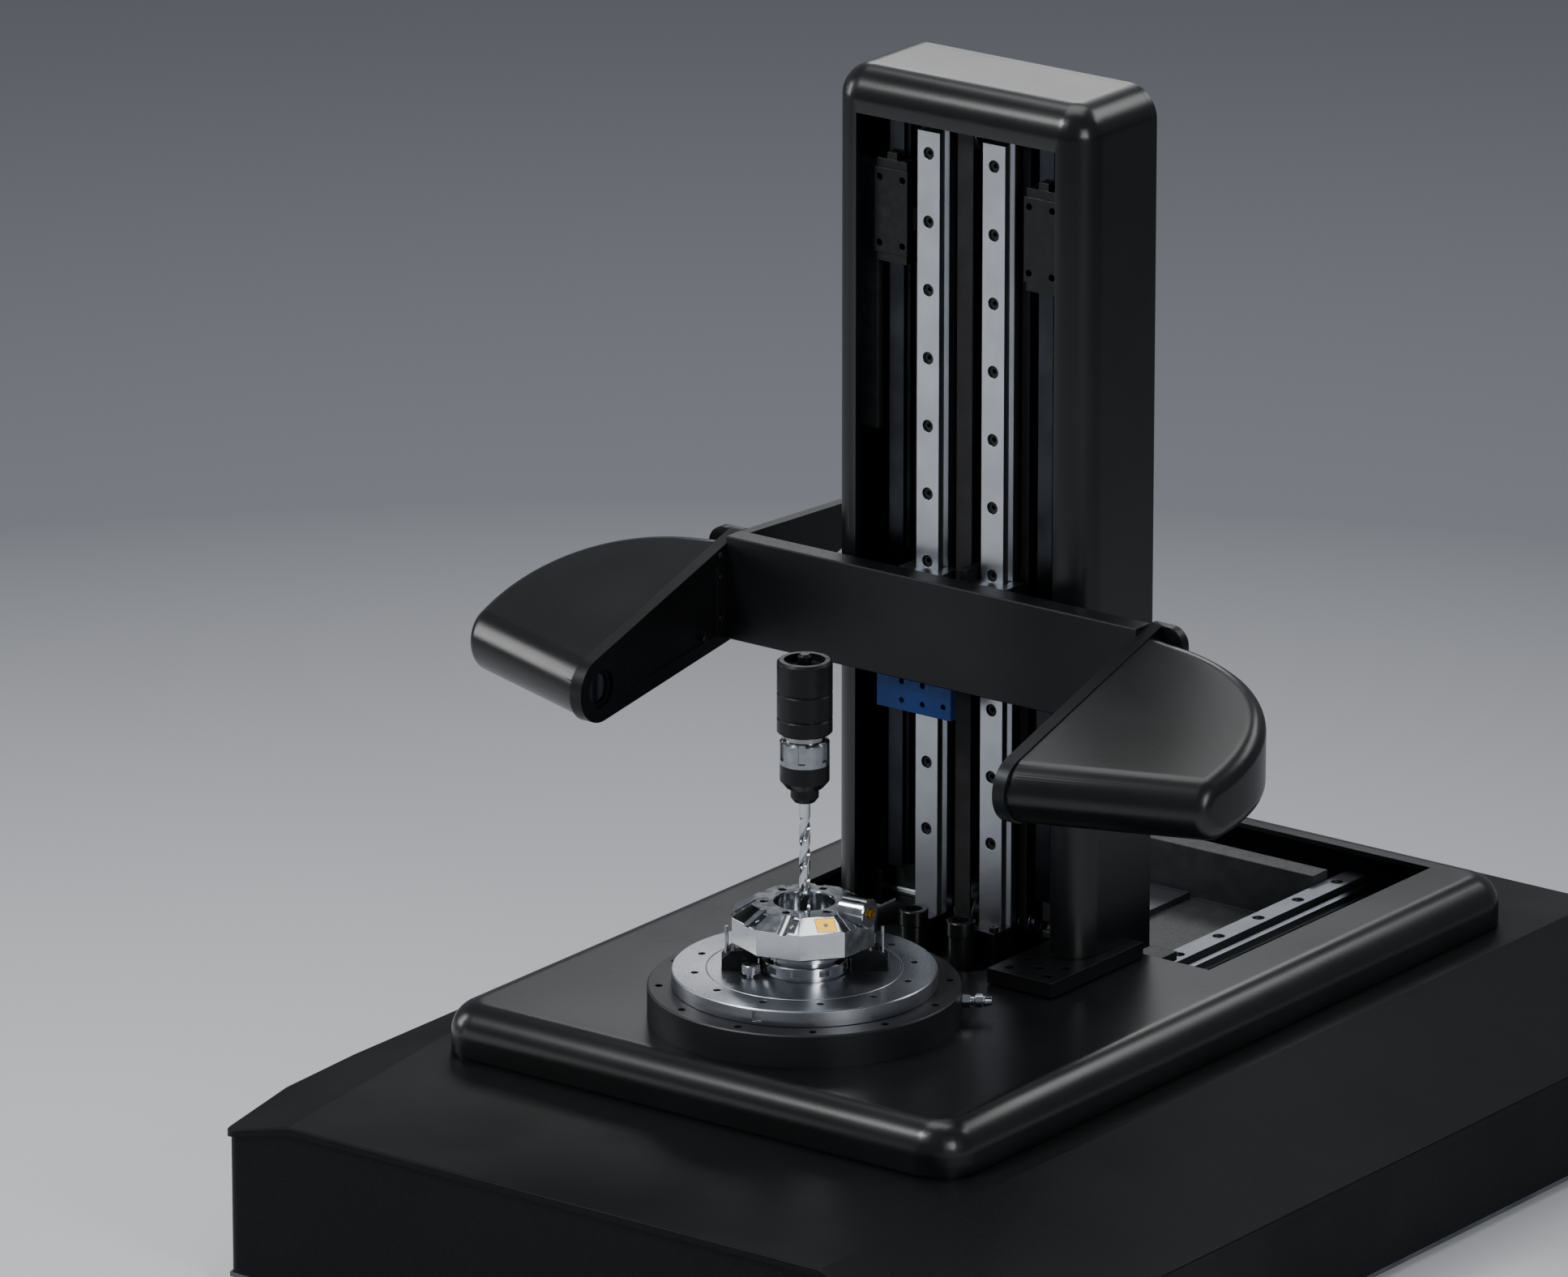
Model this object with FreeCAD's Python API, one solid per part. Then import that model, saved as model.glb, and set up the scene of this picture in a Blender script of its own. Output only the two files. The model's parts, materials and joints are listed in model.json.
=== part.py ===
"""Tool presetter: a machine bed with a rotary spindle table, a column that slides back on two rails,
and a camera carriage that climbs the column with a camera arm on the left and a lamp arm on the right.

Millimetres, +Z up, -Y is the operator's side, and X = 0 is the plane of symmetry of column and table.
The origin is the centre of the spindle disc's top face, on the spindle axis.
"""
import FreeCAD, Part
import math
import os

V = FreeCAD.Vector
X, Y, Z = V(1, 0, 0), V(0, 1, 0), V(0, 0, 1)
ORIGIN = V(0, 0, 0)

# Clearances
GAP = 0.3            # between pieces that are only set together
RUN = 0.05           # radial clearance of a shaft in its bearing
SLIDE = 1.5          # between a moving piece and a cover that it passes over

# Levels above the spindle disc's top face
FLOOR_Z = -244.0
DECK_Z = -88.0
PLINTH_Z = -43.0
RING_Z = -14.0
AXIS_Z = 204.0       # optical axis of camera and lamp at rest
COLUMN_TOP_Z = 721.0

# Base housing: a skirt under a folded deck cover
BASE_LEFT, BASE_RIGHT = -352.0, 454.0
BASE_FRONT, BASE_BACK = -382.0, 760.0
NOSE_IN, NOSE_LENGTH = 30.0, 120.0      # the left wall runs in towards the front
DECK_LEFT, DECK_RIGHT = -289.0, 301.0   # creases where the deck breaks into its side slopes
DECK_NOSE_IN, DECK_NOSE_LENGTH = 36.0, 252.0
LEFT_DROP, RIGHT_DROP = 17.0, 51.0
BASE_CORNER = 15.0
SHEET = 3.0
LIP = 6.5
LIP_RADIUS = 2.2
BOTTOM_PLATE = 4.0
FOOT_HEIGHT = 8.0
FOOT_RADIUS = 26.0
FOOT_INSET = 60.0
INLET_WIDTH, INLET_HEIGHT = 110.0, 62.0

# Plinth cover, with the opening that the column stands in
PLINTH_X = 271.0
PLINTH_FRONT, PLINTH_BACK = -163.0, 672.0
PLINTH_CORNER = 38.0
PLINTH_BULL = 27.0
PLINTH_WALL = 4.5
SHADOW_GAP = 2.5
OPENING_X = 206.5
OPENING_BACK = 635.0
OPENING_FRONT_LEFT, OPENING_FRONT_RIGHT = 169.0, 299.0
OPENING_STEP_X = 68.0

# Machine bed and the rails that the column slides on
BED_X = 230.0
BED_FRONT, BED_BACK = -128.0, 648.0
BED_FLOOR_Z = -104.0
BED_WALL, BED_FLOOR_THICK = 24.0, 30.0
BED_CORE_FRONT, BED_CORE_MIDDLE = 130.0, 400.0
Y_RAIL_X = 125.0
Y_RAIL_SEAT_Z = -84.0
Y_RAIL_WIDTH, Y_RAIL_HEIGHT = 20.0, 18.0
Y_RAIL_FRONT, Y_RAIL_BACK = 176.0, 640.0
RAIL_PITCH = 60.0
Y_RAIL_HOLE_INSET = 14.0
Y_BLOCK_WIDTH, Y_BLOCK_HEIGHT, Y_BLOCK_LENGTH = 44.0, 28.0, 60.0
LEDGE_Y, LEDGE_DEPTH, LEDGE_TOP_Z = 590.0, 22.0, -58.0
TRACK_X0, TRACK_X1, TRACK_THICK = -75.0, -15.0, 6.0

# Spindle table
RING_RADIUS = 133.0
RING_BORE = 60.0
RING_HOLES, RING_HOLE_PITCH, RING_HOLE = 12, 123.0, 3.4
BOSS_RADIUS = 120.0
DISC_RADIUS = 112.5
DISC_HOLES, DISC_PITCH, DISC_HOLE = 12, 93.5, 3.3
DISC_HOLE_DEPTH = 9.0
DISC_GROOVE = 83.0
NOTCH_TURN = 16.0
SHAFT_RADIUS = 50.0
SPINDLE_BORE = 75.0
SPINDLE_BOTTOM_Z = -190.0
BEARING_BOTTOM_Z = -75.0
STATOR_Z0, STATOR_Z1, STATOR_BORE, ROTOR_RADIUS = -170.0, -90.0, 60.0, 58.5
NIPPLE_AZIMUTH, NIPPLE_Z = 35.0, -28.0

# Face mill on its arbor
ARBOR_FLANGE_RADIUS, ARBOR_FLANGE_TOP = 38.5, 11.5
ARBOR_SLOTS, ARBOR_SLOT_DEPTH = 10, 5.0
COLLAR_RADIUS, COLLAR_TOP, COLLAR_UNDERCUT = 35.0, 23.0, 4.0
MILL_RADIUS = 60.0      # to the middle of a flat; the ten corners stand further out
MILL_TOP, MILL_SHOULDER, MILL_BOTTOM = 59.5, 49.5, 26.0
MILL_CROWN_RADIUS = 43.5
MILL_BORE = 25.5
MILL_FACETS, MILL_FACET_AZIMUTH = 10, -39.0
MILL_FACE_HOLE = 3.6
INSERT_LENGTH, INSERT_WIDTH, INSERT_DEPTH, INSERT_HOLE, INSERT_SIDE = 15.0, 9.5, 3.2, 1.8, 9.0
WIPER_WIDTH, WIPER_SIDE = 17.0, 5.2
GULLET_RADIUS, GULLET_DEPTH, GULLET_SIDE = 7.0, 1.7, 3.5
ARBOR_SCREW_TOP, ARBOR_SCREW_HEAD, SOCKET_DEPTH = 38.0, 8.0, 5.0
CARTRIDGE_RADIUS, CARTRIDGE_AZIMUTH, CARTRIDGE_SEAT, CARTRIDGE_Z = 13.0, 6.0, 4.0, 59.0
CLAMP_AZIMUTHS = (217.0, 37.0)
CLAMP_R0, CLAMP_R1, CLAMP_WIDTH, CLAMP_TOP, CLAMP_CAP = 35.5, 70.0, 20.0, 18.0, 5.0
STUD_RADIUS, STUD_TOP = 1.6, 37.0
THUMB_RADIUS, THUMB_TOP = 7.5, 10.0

# Drill in its chuck, standing point down in the arbor
CHUCK_RADIUS, CHUCK_BOTTOM, CHUCK_TOP = 23.5, 209.0, 273.0
CHUCK_GROOVES = (222.8, 244.7)
NUT_RADIUS, NUT_BOTTOM = 21.0, 182.0
COLLET_NUT_BOTTOM, NOSE_BOTTOM, NOSE_RADIUS = 161.0, 148.0, 12.0
DRILL_RADIUS = 4.6
DRILL_TWIST_PITCH = 46.0
DRILL_WEB = 0.34
DRILL_CORNERS, DRILL_SECTIONS = 12, 14
DRILL_SHANK = 14.0

# Column: saddle, casting and covers
SADDLE_FRONT, SADDLE_BACK = 173.5, 336.0
SADDLE_TOP_Z = -49.0
SADDLE_WING = 8.0     # thickness of the saddle over the sliding blocks
SADDLE_X = 147.0
SADDLE_KEEL_X, SADDLE_KEEL_Z = 100.0, -88.0
COLUMN_X = 133.0
COLUMN_FRONT, COLUMN_BACK = 210.0, 315.0
COLUMN_CORNER = 30.0
COLUMN_CROWN = 28.0
COLUMN_WALL = 6.0
MOUTH_X, MOUTH_TOP_Z = 103.5, 683.0
FOOT_PLATE_X0, FOOT_PLATE_X1 = 77.0, 144.0
FOOT_PLATE_FRONT, FOOT_PLATE_BACK, FOOT_PLATE_THICK = 156.0, 290.0, 13.0
FRAME_TOP_Z = 702.0
FRAME_WEB_FRONT, FRAME_WEB_BACK = 285.0, 300.0

# Vertical rails, belts and pulleys
Z_RAIL_X = 34.0
Z_RAIL_WIDTH, Z_RAIL_HEIGHT = 23.0, 22.0
Z_RAIL_SEAT_Y = 241.0
Z_RAIL_BOTTOM, Z_RAIL_TOP = -18.0, 676.0
Z_RAIL_HOLE_INSET = 19.0
SIDE_RAIL_X = 78.0
SIDE_RAIL_WIDTH, SIDE_RAIL_HEIGHT = 15.0, 15.0
SIDE_RAIL_SEAT_Y = 249.0
SIDE_RAIL_BOTTOM, SIDE_RAIL_TOP = 10.0, 700.0
SHAFT_Y, HEAD_SHAFT_Z, FOOT_SHAFT_Z, BELT_SHAFT_RADIUS = 252.0, 684.0, -18.0, 5.0
DRIVE_PULLEY, WEIGHT_PULLEY = 25.0, 10.0      # pitch radii: the weights travel 10/25 of the carriage
DRIVE_BELT_WIDTH, WEIGHT_BELT_WIDTH, BELT_THICK = 16.0, 8.0, 2.0
WEIGHT_BELT_X = 53.0
SCALE_THICK, SCALE_Z0, SCALE_Z1 = 2.5, 20.0, 665.0
BUFFER_X, BUFFER_Y, BUFFER_RADIUS, BUFFER_TOP_Z = 25.0, 189.0, 12.5, -5.0
WEIGHT_Z0, WEIGHT_Z1 = 552.0, 642.0
WEIGHT_WIDTH, WEIGHT_FRONT_Y = 34.0, 225.0
WEIGHT_BAR_X0, WEIGHT_BAR_X1, WEIGHT_BAR_Z0 = 97.0, 121.0, 400.0

# Camera carriage
BLOCK_WIDTH, BLOCK_LENGTH, BLOCK_FRONT_Y = 48.0, 82.0, 195.0
BEAM_X, BEAM_THICK = 215.0, 20.0
BEAM_BOTTOM, BEAM_TOP = 204.0, 296.0
PLATE_X0, PLATE_X1, PLATE_Z0, PLATE_Z1, PLATE_THICK = -64.0, 14.0, 171.0, 232.0, 7.0
BRACKET_BACK, BRACKET_THICK = 352.0, 10.0
ARM_PLATE = 12.0
ARM_NOSE = 29.0
ARM_SWEEP = 20.0
ARM_REACH_X = 392.0
ARM_WALL = 4.0
ARM_RIM = 16.0
ARM_BACK_FLAT, ARM_SHOULDER = 30.0, 28.0        # flat of the cover behind the plate, and its turn into the side
ARM_BULGE, ARM_BULGE_DEPTH = 11.0, 70.0         # the side's pole outside the reach, and how far it lies forward
ARM_TIP_DEPTH, ARM_TIP_IN, ARM_TIP_LEAD = 36.0, 7.0, 6.0
PANEL_INSET, PANEL_DEPTH, PANEL_ROUND = 12.0, 1.2, 38.0
ROOT_FLANGE_REACH, ROOT_FLANGE_THICK = 34.0, 9.0
LENS_BORE = 17.0
LENS_RECESS = 3.0
BARREL_WALL = 4.0
BARREL_FLANGE, BARREL_FLANGE_THICK = 2.5, 1.7
CAMERA_HALF, CAMERA_LENGTH = 11.0, 68.0


def box(x0, x1, y0, y1, z0, z1):
    """Box between two corners."""
    return Part.makeBox(x1 - x0, y1 - y0, z1 - z0, V(x0, y0, z0))


def rod(radius, start, axis, length):
    """Round bar from a point along an axis."""
    return Part.makeCylinder(radius, length, start, axis)


def tube(outer, inner, start, axis, length):
    """Round tube from a point along an axis."""
    return rod(outer, start, axis, length).cut(rod(inner, start, axis, length))


def turned(profile, start=ORIGIN, axis=Z):
    """Solid turned from a profile of (radius, height) points about an axis through a point."""
    wire = Part.makePolygon([V(r, 0, h) for r, h in profile] + [V(profile[0][0], 0, profile[0][1])])
    solid = Part.Face(wire).revolve(ORIGIN, Z, 360)
    solid.Placement = FreeCAD.Placement(start, FreeCAD.Rotation(Z, axis))
    return solid


def in_xy(points, z0, z1):
    """Prism with its outline in plan."""
    wire = Part.makePolygon([V(a, b, z0) for a, b in points] + [V(points[0][0], points[0][1], z0)])
    return Part.Face(wire).extrude(Z * (z1 - z0))


def in_yz(points, x0, x1):
    """Prism with its outline seen from the side."""
    wire = Part.makePolygon([V(x0, a, b) for a, b in points] + [V(x0, points[0][0], points[0][1])])
    return Part.Face(wire).extrude(X * (x1 - x0))


def inset(points, distance):
    """Counter-clockwise outline moved inwards by a distance."""
    result = []
    count = len(points)
    for i in range(count):
        before, here, after = points[i - 1], points[i], points[(i + 1) % count]
        a = V(here[0] - before[0], here[1] - before[1], 0).normalize()
        b = V(after[0] - here[0], after[1] - here[1], 0).normalize()
        normal_a, normal_b = V(-a.y, a.x, 0), V(-b.y, b.x, 0)
        middle = (normal_a + normal_b).normalize()
        reach = distance / middle.dot(normal_a)
        result.append((here[0] + middle.x * reach, here[1] + middle.y * reach))
    return result


def rounded_prism(points, radius, z0, z1):
    """Prism in plan with its upright corners rounded."""
    solid = in_xy(points, z0, z1)
    upright = [e for e in solid.Edges if abs(e.tangentAt(e.FirstParameter).z) > 0.99]
    return solid.makeFillet(radius, upright)


def rectangle(x0, x1, y0, y1):
    """Corners of a rectangle, counter-clockwise."""
    return [(x0, y0), (x1, y0), (x1, y1), (x0, y1)]


def above_plane(p, q, r):
    """Thick slab that lies above the plane through three points."""
    normal = (q - p).cross(r - p).normalize()
    if normal.z < 0:
        normal = normal * -1
    across = (q - p).normalize()
    other = normal.cross(across)
    far = 2 * (BASE_RIGHT - BASE_LEFT + BASE_BACK - BASE_FRONT)
    corners = [p + across * (a * far) + other * (b * far) for a, b in ((-1, -1), (1, -1), (1, 1), (-1, 1))]
    return Part.Face(Part.makePolygon(corners + corners[:1])).extrude(normal * far)


def polar(count, radius, z, start=0.0):
    """Evenly spaced points on a circle about the spindle axis."""
    step = 2 * math.pi / count
    turn = math.radians(start)
    return [V(radius * math.cos(turn + i * step), radius * math.sin(turn + i * step), z) for i in range(count)]


def spaced(first, last, pitch):
    """Positions from first, one pitch apart, up to last."""
    return [first + i * pitch for i in range(int((last - first) / pitch + 1e-6) + 1)]


def mirrored(shape):
    """The same piece on the other side of the plane of symmetry."""
    return shape.mirror(ORIGIN, X)


def both(shape):
    """A piece and its mirror image as two solids."""
    return Part.makeCompound([shape, mirrored(shape)])


def radial(azimuth, radius, z):
    """Point at an azimuth and radius about the spindle axis."""
    turn = math.radians(azimuth)
    return V(radius * math.cos(turn), radius * math.sin(turn), z)


# Base housing

SKIRT_BOTTOM_Z = FLOOR_Z + FOOT_HEIGHT + BOTTOM_PLATE
BASE_OUTLINE = [(BASE_LEFT + NOSE_IN, BASE_FRONT), (BASE_RIGHT, BASE_FRONT), (BASE_RIGHT, BASE_BACK),
                (BASE_LEFT, BASE_BACK), (BASE_LEFT, BASE_FRONT + NOSE_LENGTH)]


def base_envelope(wall, drop):
    """The housing's outer form, drawn in by a wall and lowered by a drop."""
    solid = rounded_prism(inset(BASE_OUTLINE, wall), BASE_CORNER - wall, SKIRT_BOTTOM_Z, DECK_Z - drop)
    low_left = DECK_Z - LEFT_DROP
    crease_y = BASE_FRONT + DECK_NOSE_LENGTH
    slopes = (
        (V(DECK_RIGHT, 0, DECK_Z), V(DECK_RIGHT, 1, DECK_Z), V(BASE_RIGHT, 0, DECK_Z - RIGHT_DROP)),
        (V(DECK_LEFT, 0, DECK_Z), V(DECK_LEFT, 1, DECK_Z), V(BASE_LEFT, 0, low_left)),
        (V(DECK_LEFT, crease_y, DECK_Z), V(DECK_LEFT + DECK_NOSE_IN, BASE_FRONT, DECK_Z),
         V(BASE_LEFT + NOSE_IN, BASE_FRONT, low_left)))
    return solid.cut([above_plane(*corners).translated(V(0, 0, -drop)) for corners in slopes])


def deck_cover():
    """Folded sheet cover with a short rolled lip all round and an opening over the machine bed."""
    outer = base_envelope(0, 0)
    rim = []
    for edge in outer.Edges:
        middle = edge.CenterOfMass
        upright = abs(edge.tangentAt(edge.FirstParameter).z) > 0.9
        low = middle.z < SKIRT_BOTTOM_Z + 1
        outside = not outer.isInside(middle + V(0, 0, 0.5), 0.01, True)
        if upright or low or not outside:
            continue
        near_edge = min(middle.x - BASE_LEFT, BASE_RIGHT - middle.x, middle.y - BASE_FRONT, BASE_BACK - middle.y)
        if near_edge < NOSE_IN / 2 + 1:
            rim.append(edge)
    outer = outer.makeFillet(LIP_RADIUS, rim)
    below_lip = base_envelope(-SHEET, LIP)
    hollow = base_envelope(SHEET, SHEET)
    well = box(-BED_X - 6, BED_X + 6, BED_FRONT - 6, BED_BACK + 6, DECK_Z - 20, DECK_Z + 1)
    return outer.cut([hollow, below_lip, well])


def base_skirt():
    """Upright walls that stand just inside the deck cover's lip, with an opening for the inlet at the back."""
    walls = base_envelope(SHEET + GAP, SHEET)
    wall = 2 * SHEET + GAP
    inside = rounded_prism(inset(BASE_OUTLINE, wall), BASE_CORNER - wall, FLOOR_Z, DECK_Z)
    window = box(-INLET_WIDTH / 2, INLET_WIDTH / 2, BASE_BACK - 20, BASE_BACK + 1,
                 inlet_z() - INLET_HEIGHT / 2, inlet_z() + INLET_HEIGHT / 2)
    return walls.cut([inside, window])


def inlet_z():
    """Height of the middle of the inlet panel on the back wall."""
    return (SKIRT_BOTTOM_Z + DECK_Z) / 2 - 8


def rear_inlet():
    """Panel in the back wall with a power inlet, an air connection and a ventilation grille."""
    face = BASE_BACK - SHEET - GAP
    half_w, half_h = INLET_WIDTH / 2 + 8, INLET_HEIGHT / 2 + 8
    z = inlet_z()
    plate = box(-half_w, half_w, face, face + 2.5, z - half_h, z + half_h)
    cup = box(-44, -10, face - 24, face + 2.5, z - 14, z + 14)
    socket = box(-41, -13, face - 20, face + 4, z - 11, z + 11)
    pins = [box(x - 1, x + 1, face - 20.5, face - 4, z + dz - 3, z + dz + 3)
            for x, dz in ((-35, -3), (-27, 4), (-19, -3))]
    slots = [box(8, 46, face - 1, face + 4, z + dz - 1.6, z + dz + 1.6) for dz in (-20, -12, -4, 4, 12, 20)]
    return plate.fuse(cup).cut([socket] + slots).fuse(pins)


def bottom_plate():
    """Flat plate that closes the housing and carries the bed."""
    return in_xy(inset(BASE_OUTLINE, SHEET + GAP), SKIRT_BOTTOM_Z - BOTTOM_PLATE, SKIRT_BOTTOM_Z)


def levelling_feet():
    """Turned feet with a rubber-like tread under the bottom plate."""
    top = SKIRT_BOTTOM_Z - BOTTOM_PLATE
    places = [(x, y) for x in (BASE_LEFT + FOOT_INSET, BASE_RIGHT - FOOT_INSET)
              for y in (BASE_FRONT + FOOT_INSET + NOSE_LENGTH / 2, (BASE_FRONT + BASE_BACK) / 2, BASE_BACK - FOOT_INSET)]
    profile = [(0, FLOOR_Z), (FOOT_RADIUS, FLOOR_Z), (FOOT_RADIUS, FLOOR_Z + 3), (FOOT_RADIUS - 8, top), (0, top)]
    return Part.makeCompound([turned(profile).translated(V(x, y, 0)) for x, y in places])


# Machine bed

def machine_bed():
    """Cast bed: a floor with two rail lands, a cross ledge at the back and a round boss for the spindle."""
    block = box(-BED_X, BED_X, BED_FRONT, BED_BACK, SKIRT_BOTTOM_Z, BED_FLOOR_Z)
    land = Y_RAIL_WIDTH / 2 + 2
    lands = [box(s * Y_RAIL_X - land, s * Y_RAIL_X + land, Y_RAIL_FRONT - 2, BED_BACK, BED_FLOOR_Z - 1, Y_RAIL_SEAT_Z)
             for s in (-1, 1)]
    ledge = box(land - Y_RAIL_X, Y_RAIL_X - land, LEDGE_Y, LEDGE_Y + LEDGE_DEPTH, BED_FLOOR_Z - 1, LEDGE_TOP_Z)
    boss = rod(BOSS_RADIUS, V(0, 0, BED_FLOOR_Z - 1), Z, PLINTH_Z - BED_FLOOR_Z + 1)
    bore = rod(SPINDLE_BORE, V(0, 0, SPINDLE_BOTTOM_Z), Z, PLINTH_Z - SPINDLE_BOTTOM_Z + 1)
    half = BED_X - BED_WALL
    cores = []
    for y0, y1 in ((BED_CORE_FRONT, BED_CORE_MIDDLE - BED_WALL), (BED_CORE_MIDDLE, BED_BACK - BED_WALL)):
        for x0, x1 in ((-half, -BED_WALL / 2), (BED_WALL / 2, half)):
            cores.append(box(x0, x1, y0, y1, SKIRT_BOTTOM_Z - 1, BED_FLOOR_Z - BED_FLOOR_THICK))
    return block.fuse(lands + [ledge, boss]).cut([bore] + cores).removeSplitter()


def plinth_cover():
    """Moulded cover with a bullnose rim, a round hole over the spindle boss and the stepped column opening."""
    outline = rectangle(-PLINTH_X, PLINTH_X, PLINTH_FRONT, PLINTH_BACK)
    outer = rounded_prism(outline, PLINTH_CORNER, DECK_Z + SHADOW_GAP, PLINTH_Z)
    top = [e for e in outer.Edges if e.CenterOfMass.z > PLINTH_Z - 0.01]
    outer = outer.makeFillet(PLINTH_BULL, top)
    foot = rounded_prism(inset(outline, 2), PLINTH_CORNER - 2, DECK_Z, DECK_Z + SHADOW_GAP)
    hollow = rounded_prism(inset(outline, PLINTH_WALL), PLINTH_CORNER - PLINTH_WALL, DECK_Z - 1, PLINTH_Z - PLINTH_WALL)
    crown = [e for e in hollow.Edges if e.CenterOfMass.z > PLINTH_Z - PLINTH_WALL - 0.01]
    hollow = hollow.makeFillet(PLINTH_BULL - PLINTH_WALL, crown)
    step = OPENING_STEP_X
    opening = in_xy([(-OPENING_X, OPENING_FRONT_LEFT), (step, OPENING_FRONT_LEFT), (step, OPENING_FRONT_RIGHT),
                     (OPENING_X, OPENING_FRONT_RIGHT), (OPENING_X, OPENING_BACK), (-OPENING_X, OPENING_BACK)],
                    PLINTH_Z - 3 * PLINTH_WALL, PLINTH_Z + 1)
    boss_hole = rod(BOSS_RADIUS + 1, V(0, 0, PLINTH_Z - 3 * PLINTH_WALL), Z, 4 * PLINTH_WALL)
    return outer.fuse(foot).cut([hollow, opening, boss_hole])


def rail_bar(width, height, length):
    """Profile rail along +Z with its seat on y = 0 and its waists cut in at both sides."""
    half, waist = width / 2, width / 2 - width * 0.13
    points = [(-half, 0), (half, 0), (half, height * 0.36), (waist, height * 0.48), (waist, height * 0.68),
              (half, height * 0.78), (half, height), (-half, height), (-half, height * 0.78),
              (-waist, height * 0.68), (-waist, height * 0.48), (-half, height * 0.36)]
    return in_xy([(a, -b) for a, b in reversed(points)], 0, length)


def z_hole_levels():
    """Levels of the vertical rails' screw holes."""
    return [Z_RAIL_TOP - Z_RAIL_HOLE_INSET - d for d in
            spaced(0, Z_RAIL_TOP - Z_RAIL_BOTTOM - 2 * Z_RAIL_HOLE_INSET, RAIL_PITCH)]


def y_hole_places():
    """Places along Y of the bed rails' screw holes."""
    return spaced(Y_RAIL_FRONT + Y_RAIL_HOLE_INSET, Y_RAIL_BACK - Y_RAIL_HOLE_INSET, RAIL_PITCH)


COUNTERBORE, COUNTERBORE_DEPTH, CAP_RADIUS, CAP_HEIGHT, CAP_SOCKET = 5.5, 8.0, 4.8, 6.0, 2.4


def cap_screw(place, axis, radius=CAP_RADIUS, height=CAP_HEIGHT, socket=CAP_SOCKET):
    """Head of a socket cap screw, seated at a point and facing along an axis."""
    head = rod(radius, ORIGIN, Z, height)
    hexagon = [(socket * math.cos(math.radians(60 * i)), socket * math.sin(math.radians(60 * i))) for i in range(6)]
    head = head.cut(in_xy(hexagon, height * 0.45, height + 1))
    head.Placement = FreeCAD.Placement(place, FreeCAD.Rotation(Z, axis))
    return head


def base_rails():
    """Two rails on the bed, along Y, with counterbored screw holes."""
    seat_z, top_z = Y_RAIL_SEAT_Z, Y_RAIL_SEAT_Z + Y_RAIL_HEIGHT
    rail = rail_bar(Y_RAIL_WIDTH, Y_RAIL_HEIGHT, Y_RAIL_BACK - Y_RAIL_FRONT)
    rail.Placement = FreeCAD.Placement(V(Y_RAIL_X, Y_RAIL_FRONT, seat_z), FreeCAD.Rotation(X, -90))
    holes = [rod(COUNTERBORE, V(Y_RAIL_X, y, top_z - COUNTERBORE_DEPTH), Z, COUNTERBORE_DEPTH + 1)
             for y in y_hole_places()]
    return both(rail.cut(holes))


def base_rail_screws():
    """Cap screws in the bed rails."""
    seat = Y_RAIL_SEAT_Z + Y_RAIL_HEIGHT - COUNTERBORE_DEPTH
    return both(Part.makeCompound([cap_screw(V(Y_RAIL_X, y, seat), Z) for y in y_hole_places()]))


def magnet_track():
    """Flat magnet track of the column's linear motor, on the bed floor."""
    return box(TRACK_X0, TRACK_X1, Y_RAIL_FRONT, LEDGE_Y - 4, BED_FLOOR_Z, BED_FLOOR_Z + TRACK_THICK)


# Spindle table

def table_ring():
    """Fixed black ring round the spindle, with screw holes near its rim and a tapped hole for the air nipple."""
    profile = [(RING_BORE, PLINTH_Z), (RING_RADIUS, PLINTH_Z), (RING_RADIUS, RING_Z - 1.2),
               (RING_RADIUS - 1.2, RING_Z), (RING_BORE, RING_Z)]
    holes = [rod(RING_HOLE, p, Z, 8) for p in polar(RING_HOLES, RING_HOLE_PITCH, RING_Z - 7, 10)]
    port = rod(3.0, radial(NIPPLE_AZIMUTH, RING_RADIUS - 8, NIPPLE_Z), radial(NIPPLE_AZIMUTH, 1, 0), 10)
    return turned(profile).cut(holes + [port])


def ring_screws():
    """Cap screws that hold the ring down on the bed's boss."""
    return Part.makeCompound([cap_screw(p, Z, RING_HOLE - RUN, 4.5, 1.7)
                              for p in polar(RING_HOLES, RING_HOLE_PITCH, RING_Z - 7, 10)])


def air_nipple():
    """Hexagon and barbed tail of the air connection on the ring's side."""
    outward = radial(NIPPLE_AZIMUTH, 1, 0)
    start = radial(NIPPLE_AZIMUTH, RING_RADIUS, NIPPLE_Z)
    stub = rod(3.0 - RUN, start - outward * 6, outward, 6)
    nut = in_xy([(6.6 * math.cos(math.radians(60 * i)), 6.6 * math.sin(math.radians(60 * i))) for i in range(6)], 0, 7)
    nut.Placement = FreeCAD.Placement(start, FreeCAD.Rotation(Z, outward))
    tail = turned([(2.0, 7), (4.2, 7), (4.2, 10), (5.8, 11), (5.8, 17), (4.6, 18), (5.2, 19), (4.0, 25), (2.0, 25)],
                  start, outward)
    return stub.fuse([nut, tail])


def spindle_bearing():
    """Bearing of the spindle in the bed's boss."""
    return tube(SPINDLE_BORE - RUN, SHAFT_RADIUS + RUN, V(0, 0, BEARING_BOTTOM_Z), Z, PLINTH_Z - BEARING_BOTTOM_Z)


def spindle_motor():
    """Stator ring of the spindle's direct drive."""
    return tube(SPINDLE_BORE - RUN, STATOR_BORE, V(0, 0, STATOR_Z0), Z, STATOR_Z1 - STATOR_Z0)


DISC_BOTTOM_Z = RING_Z + 0.4


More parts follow.
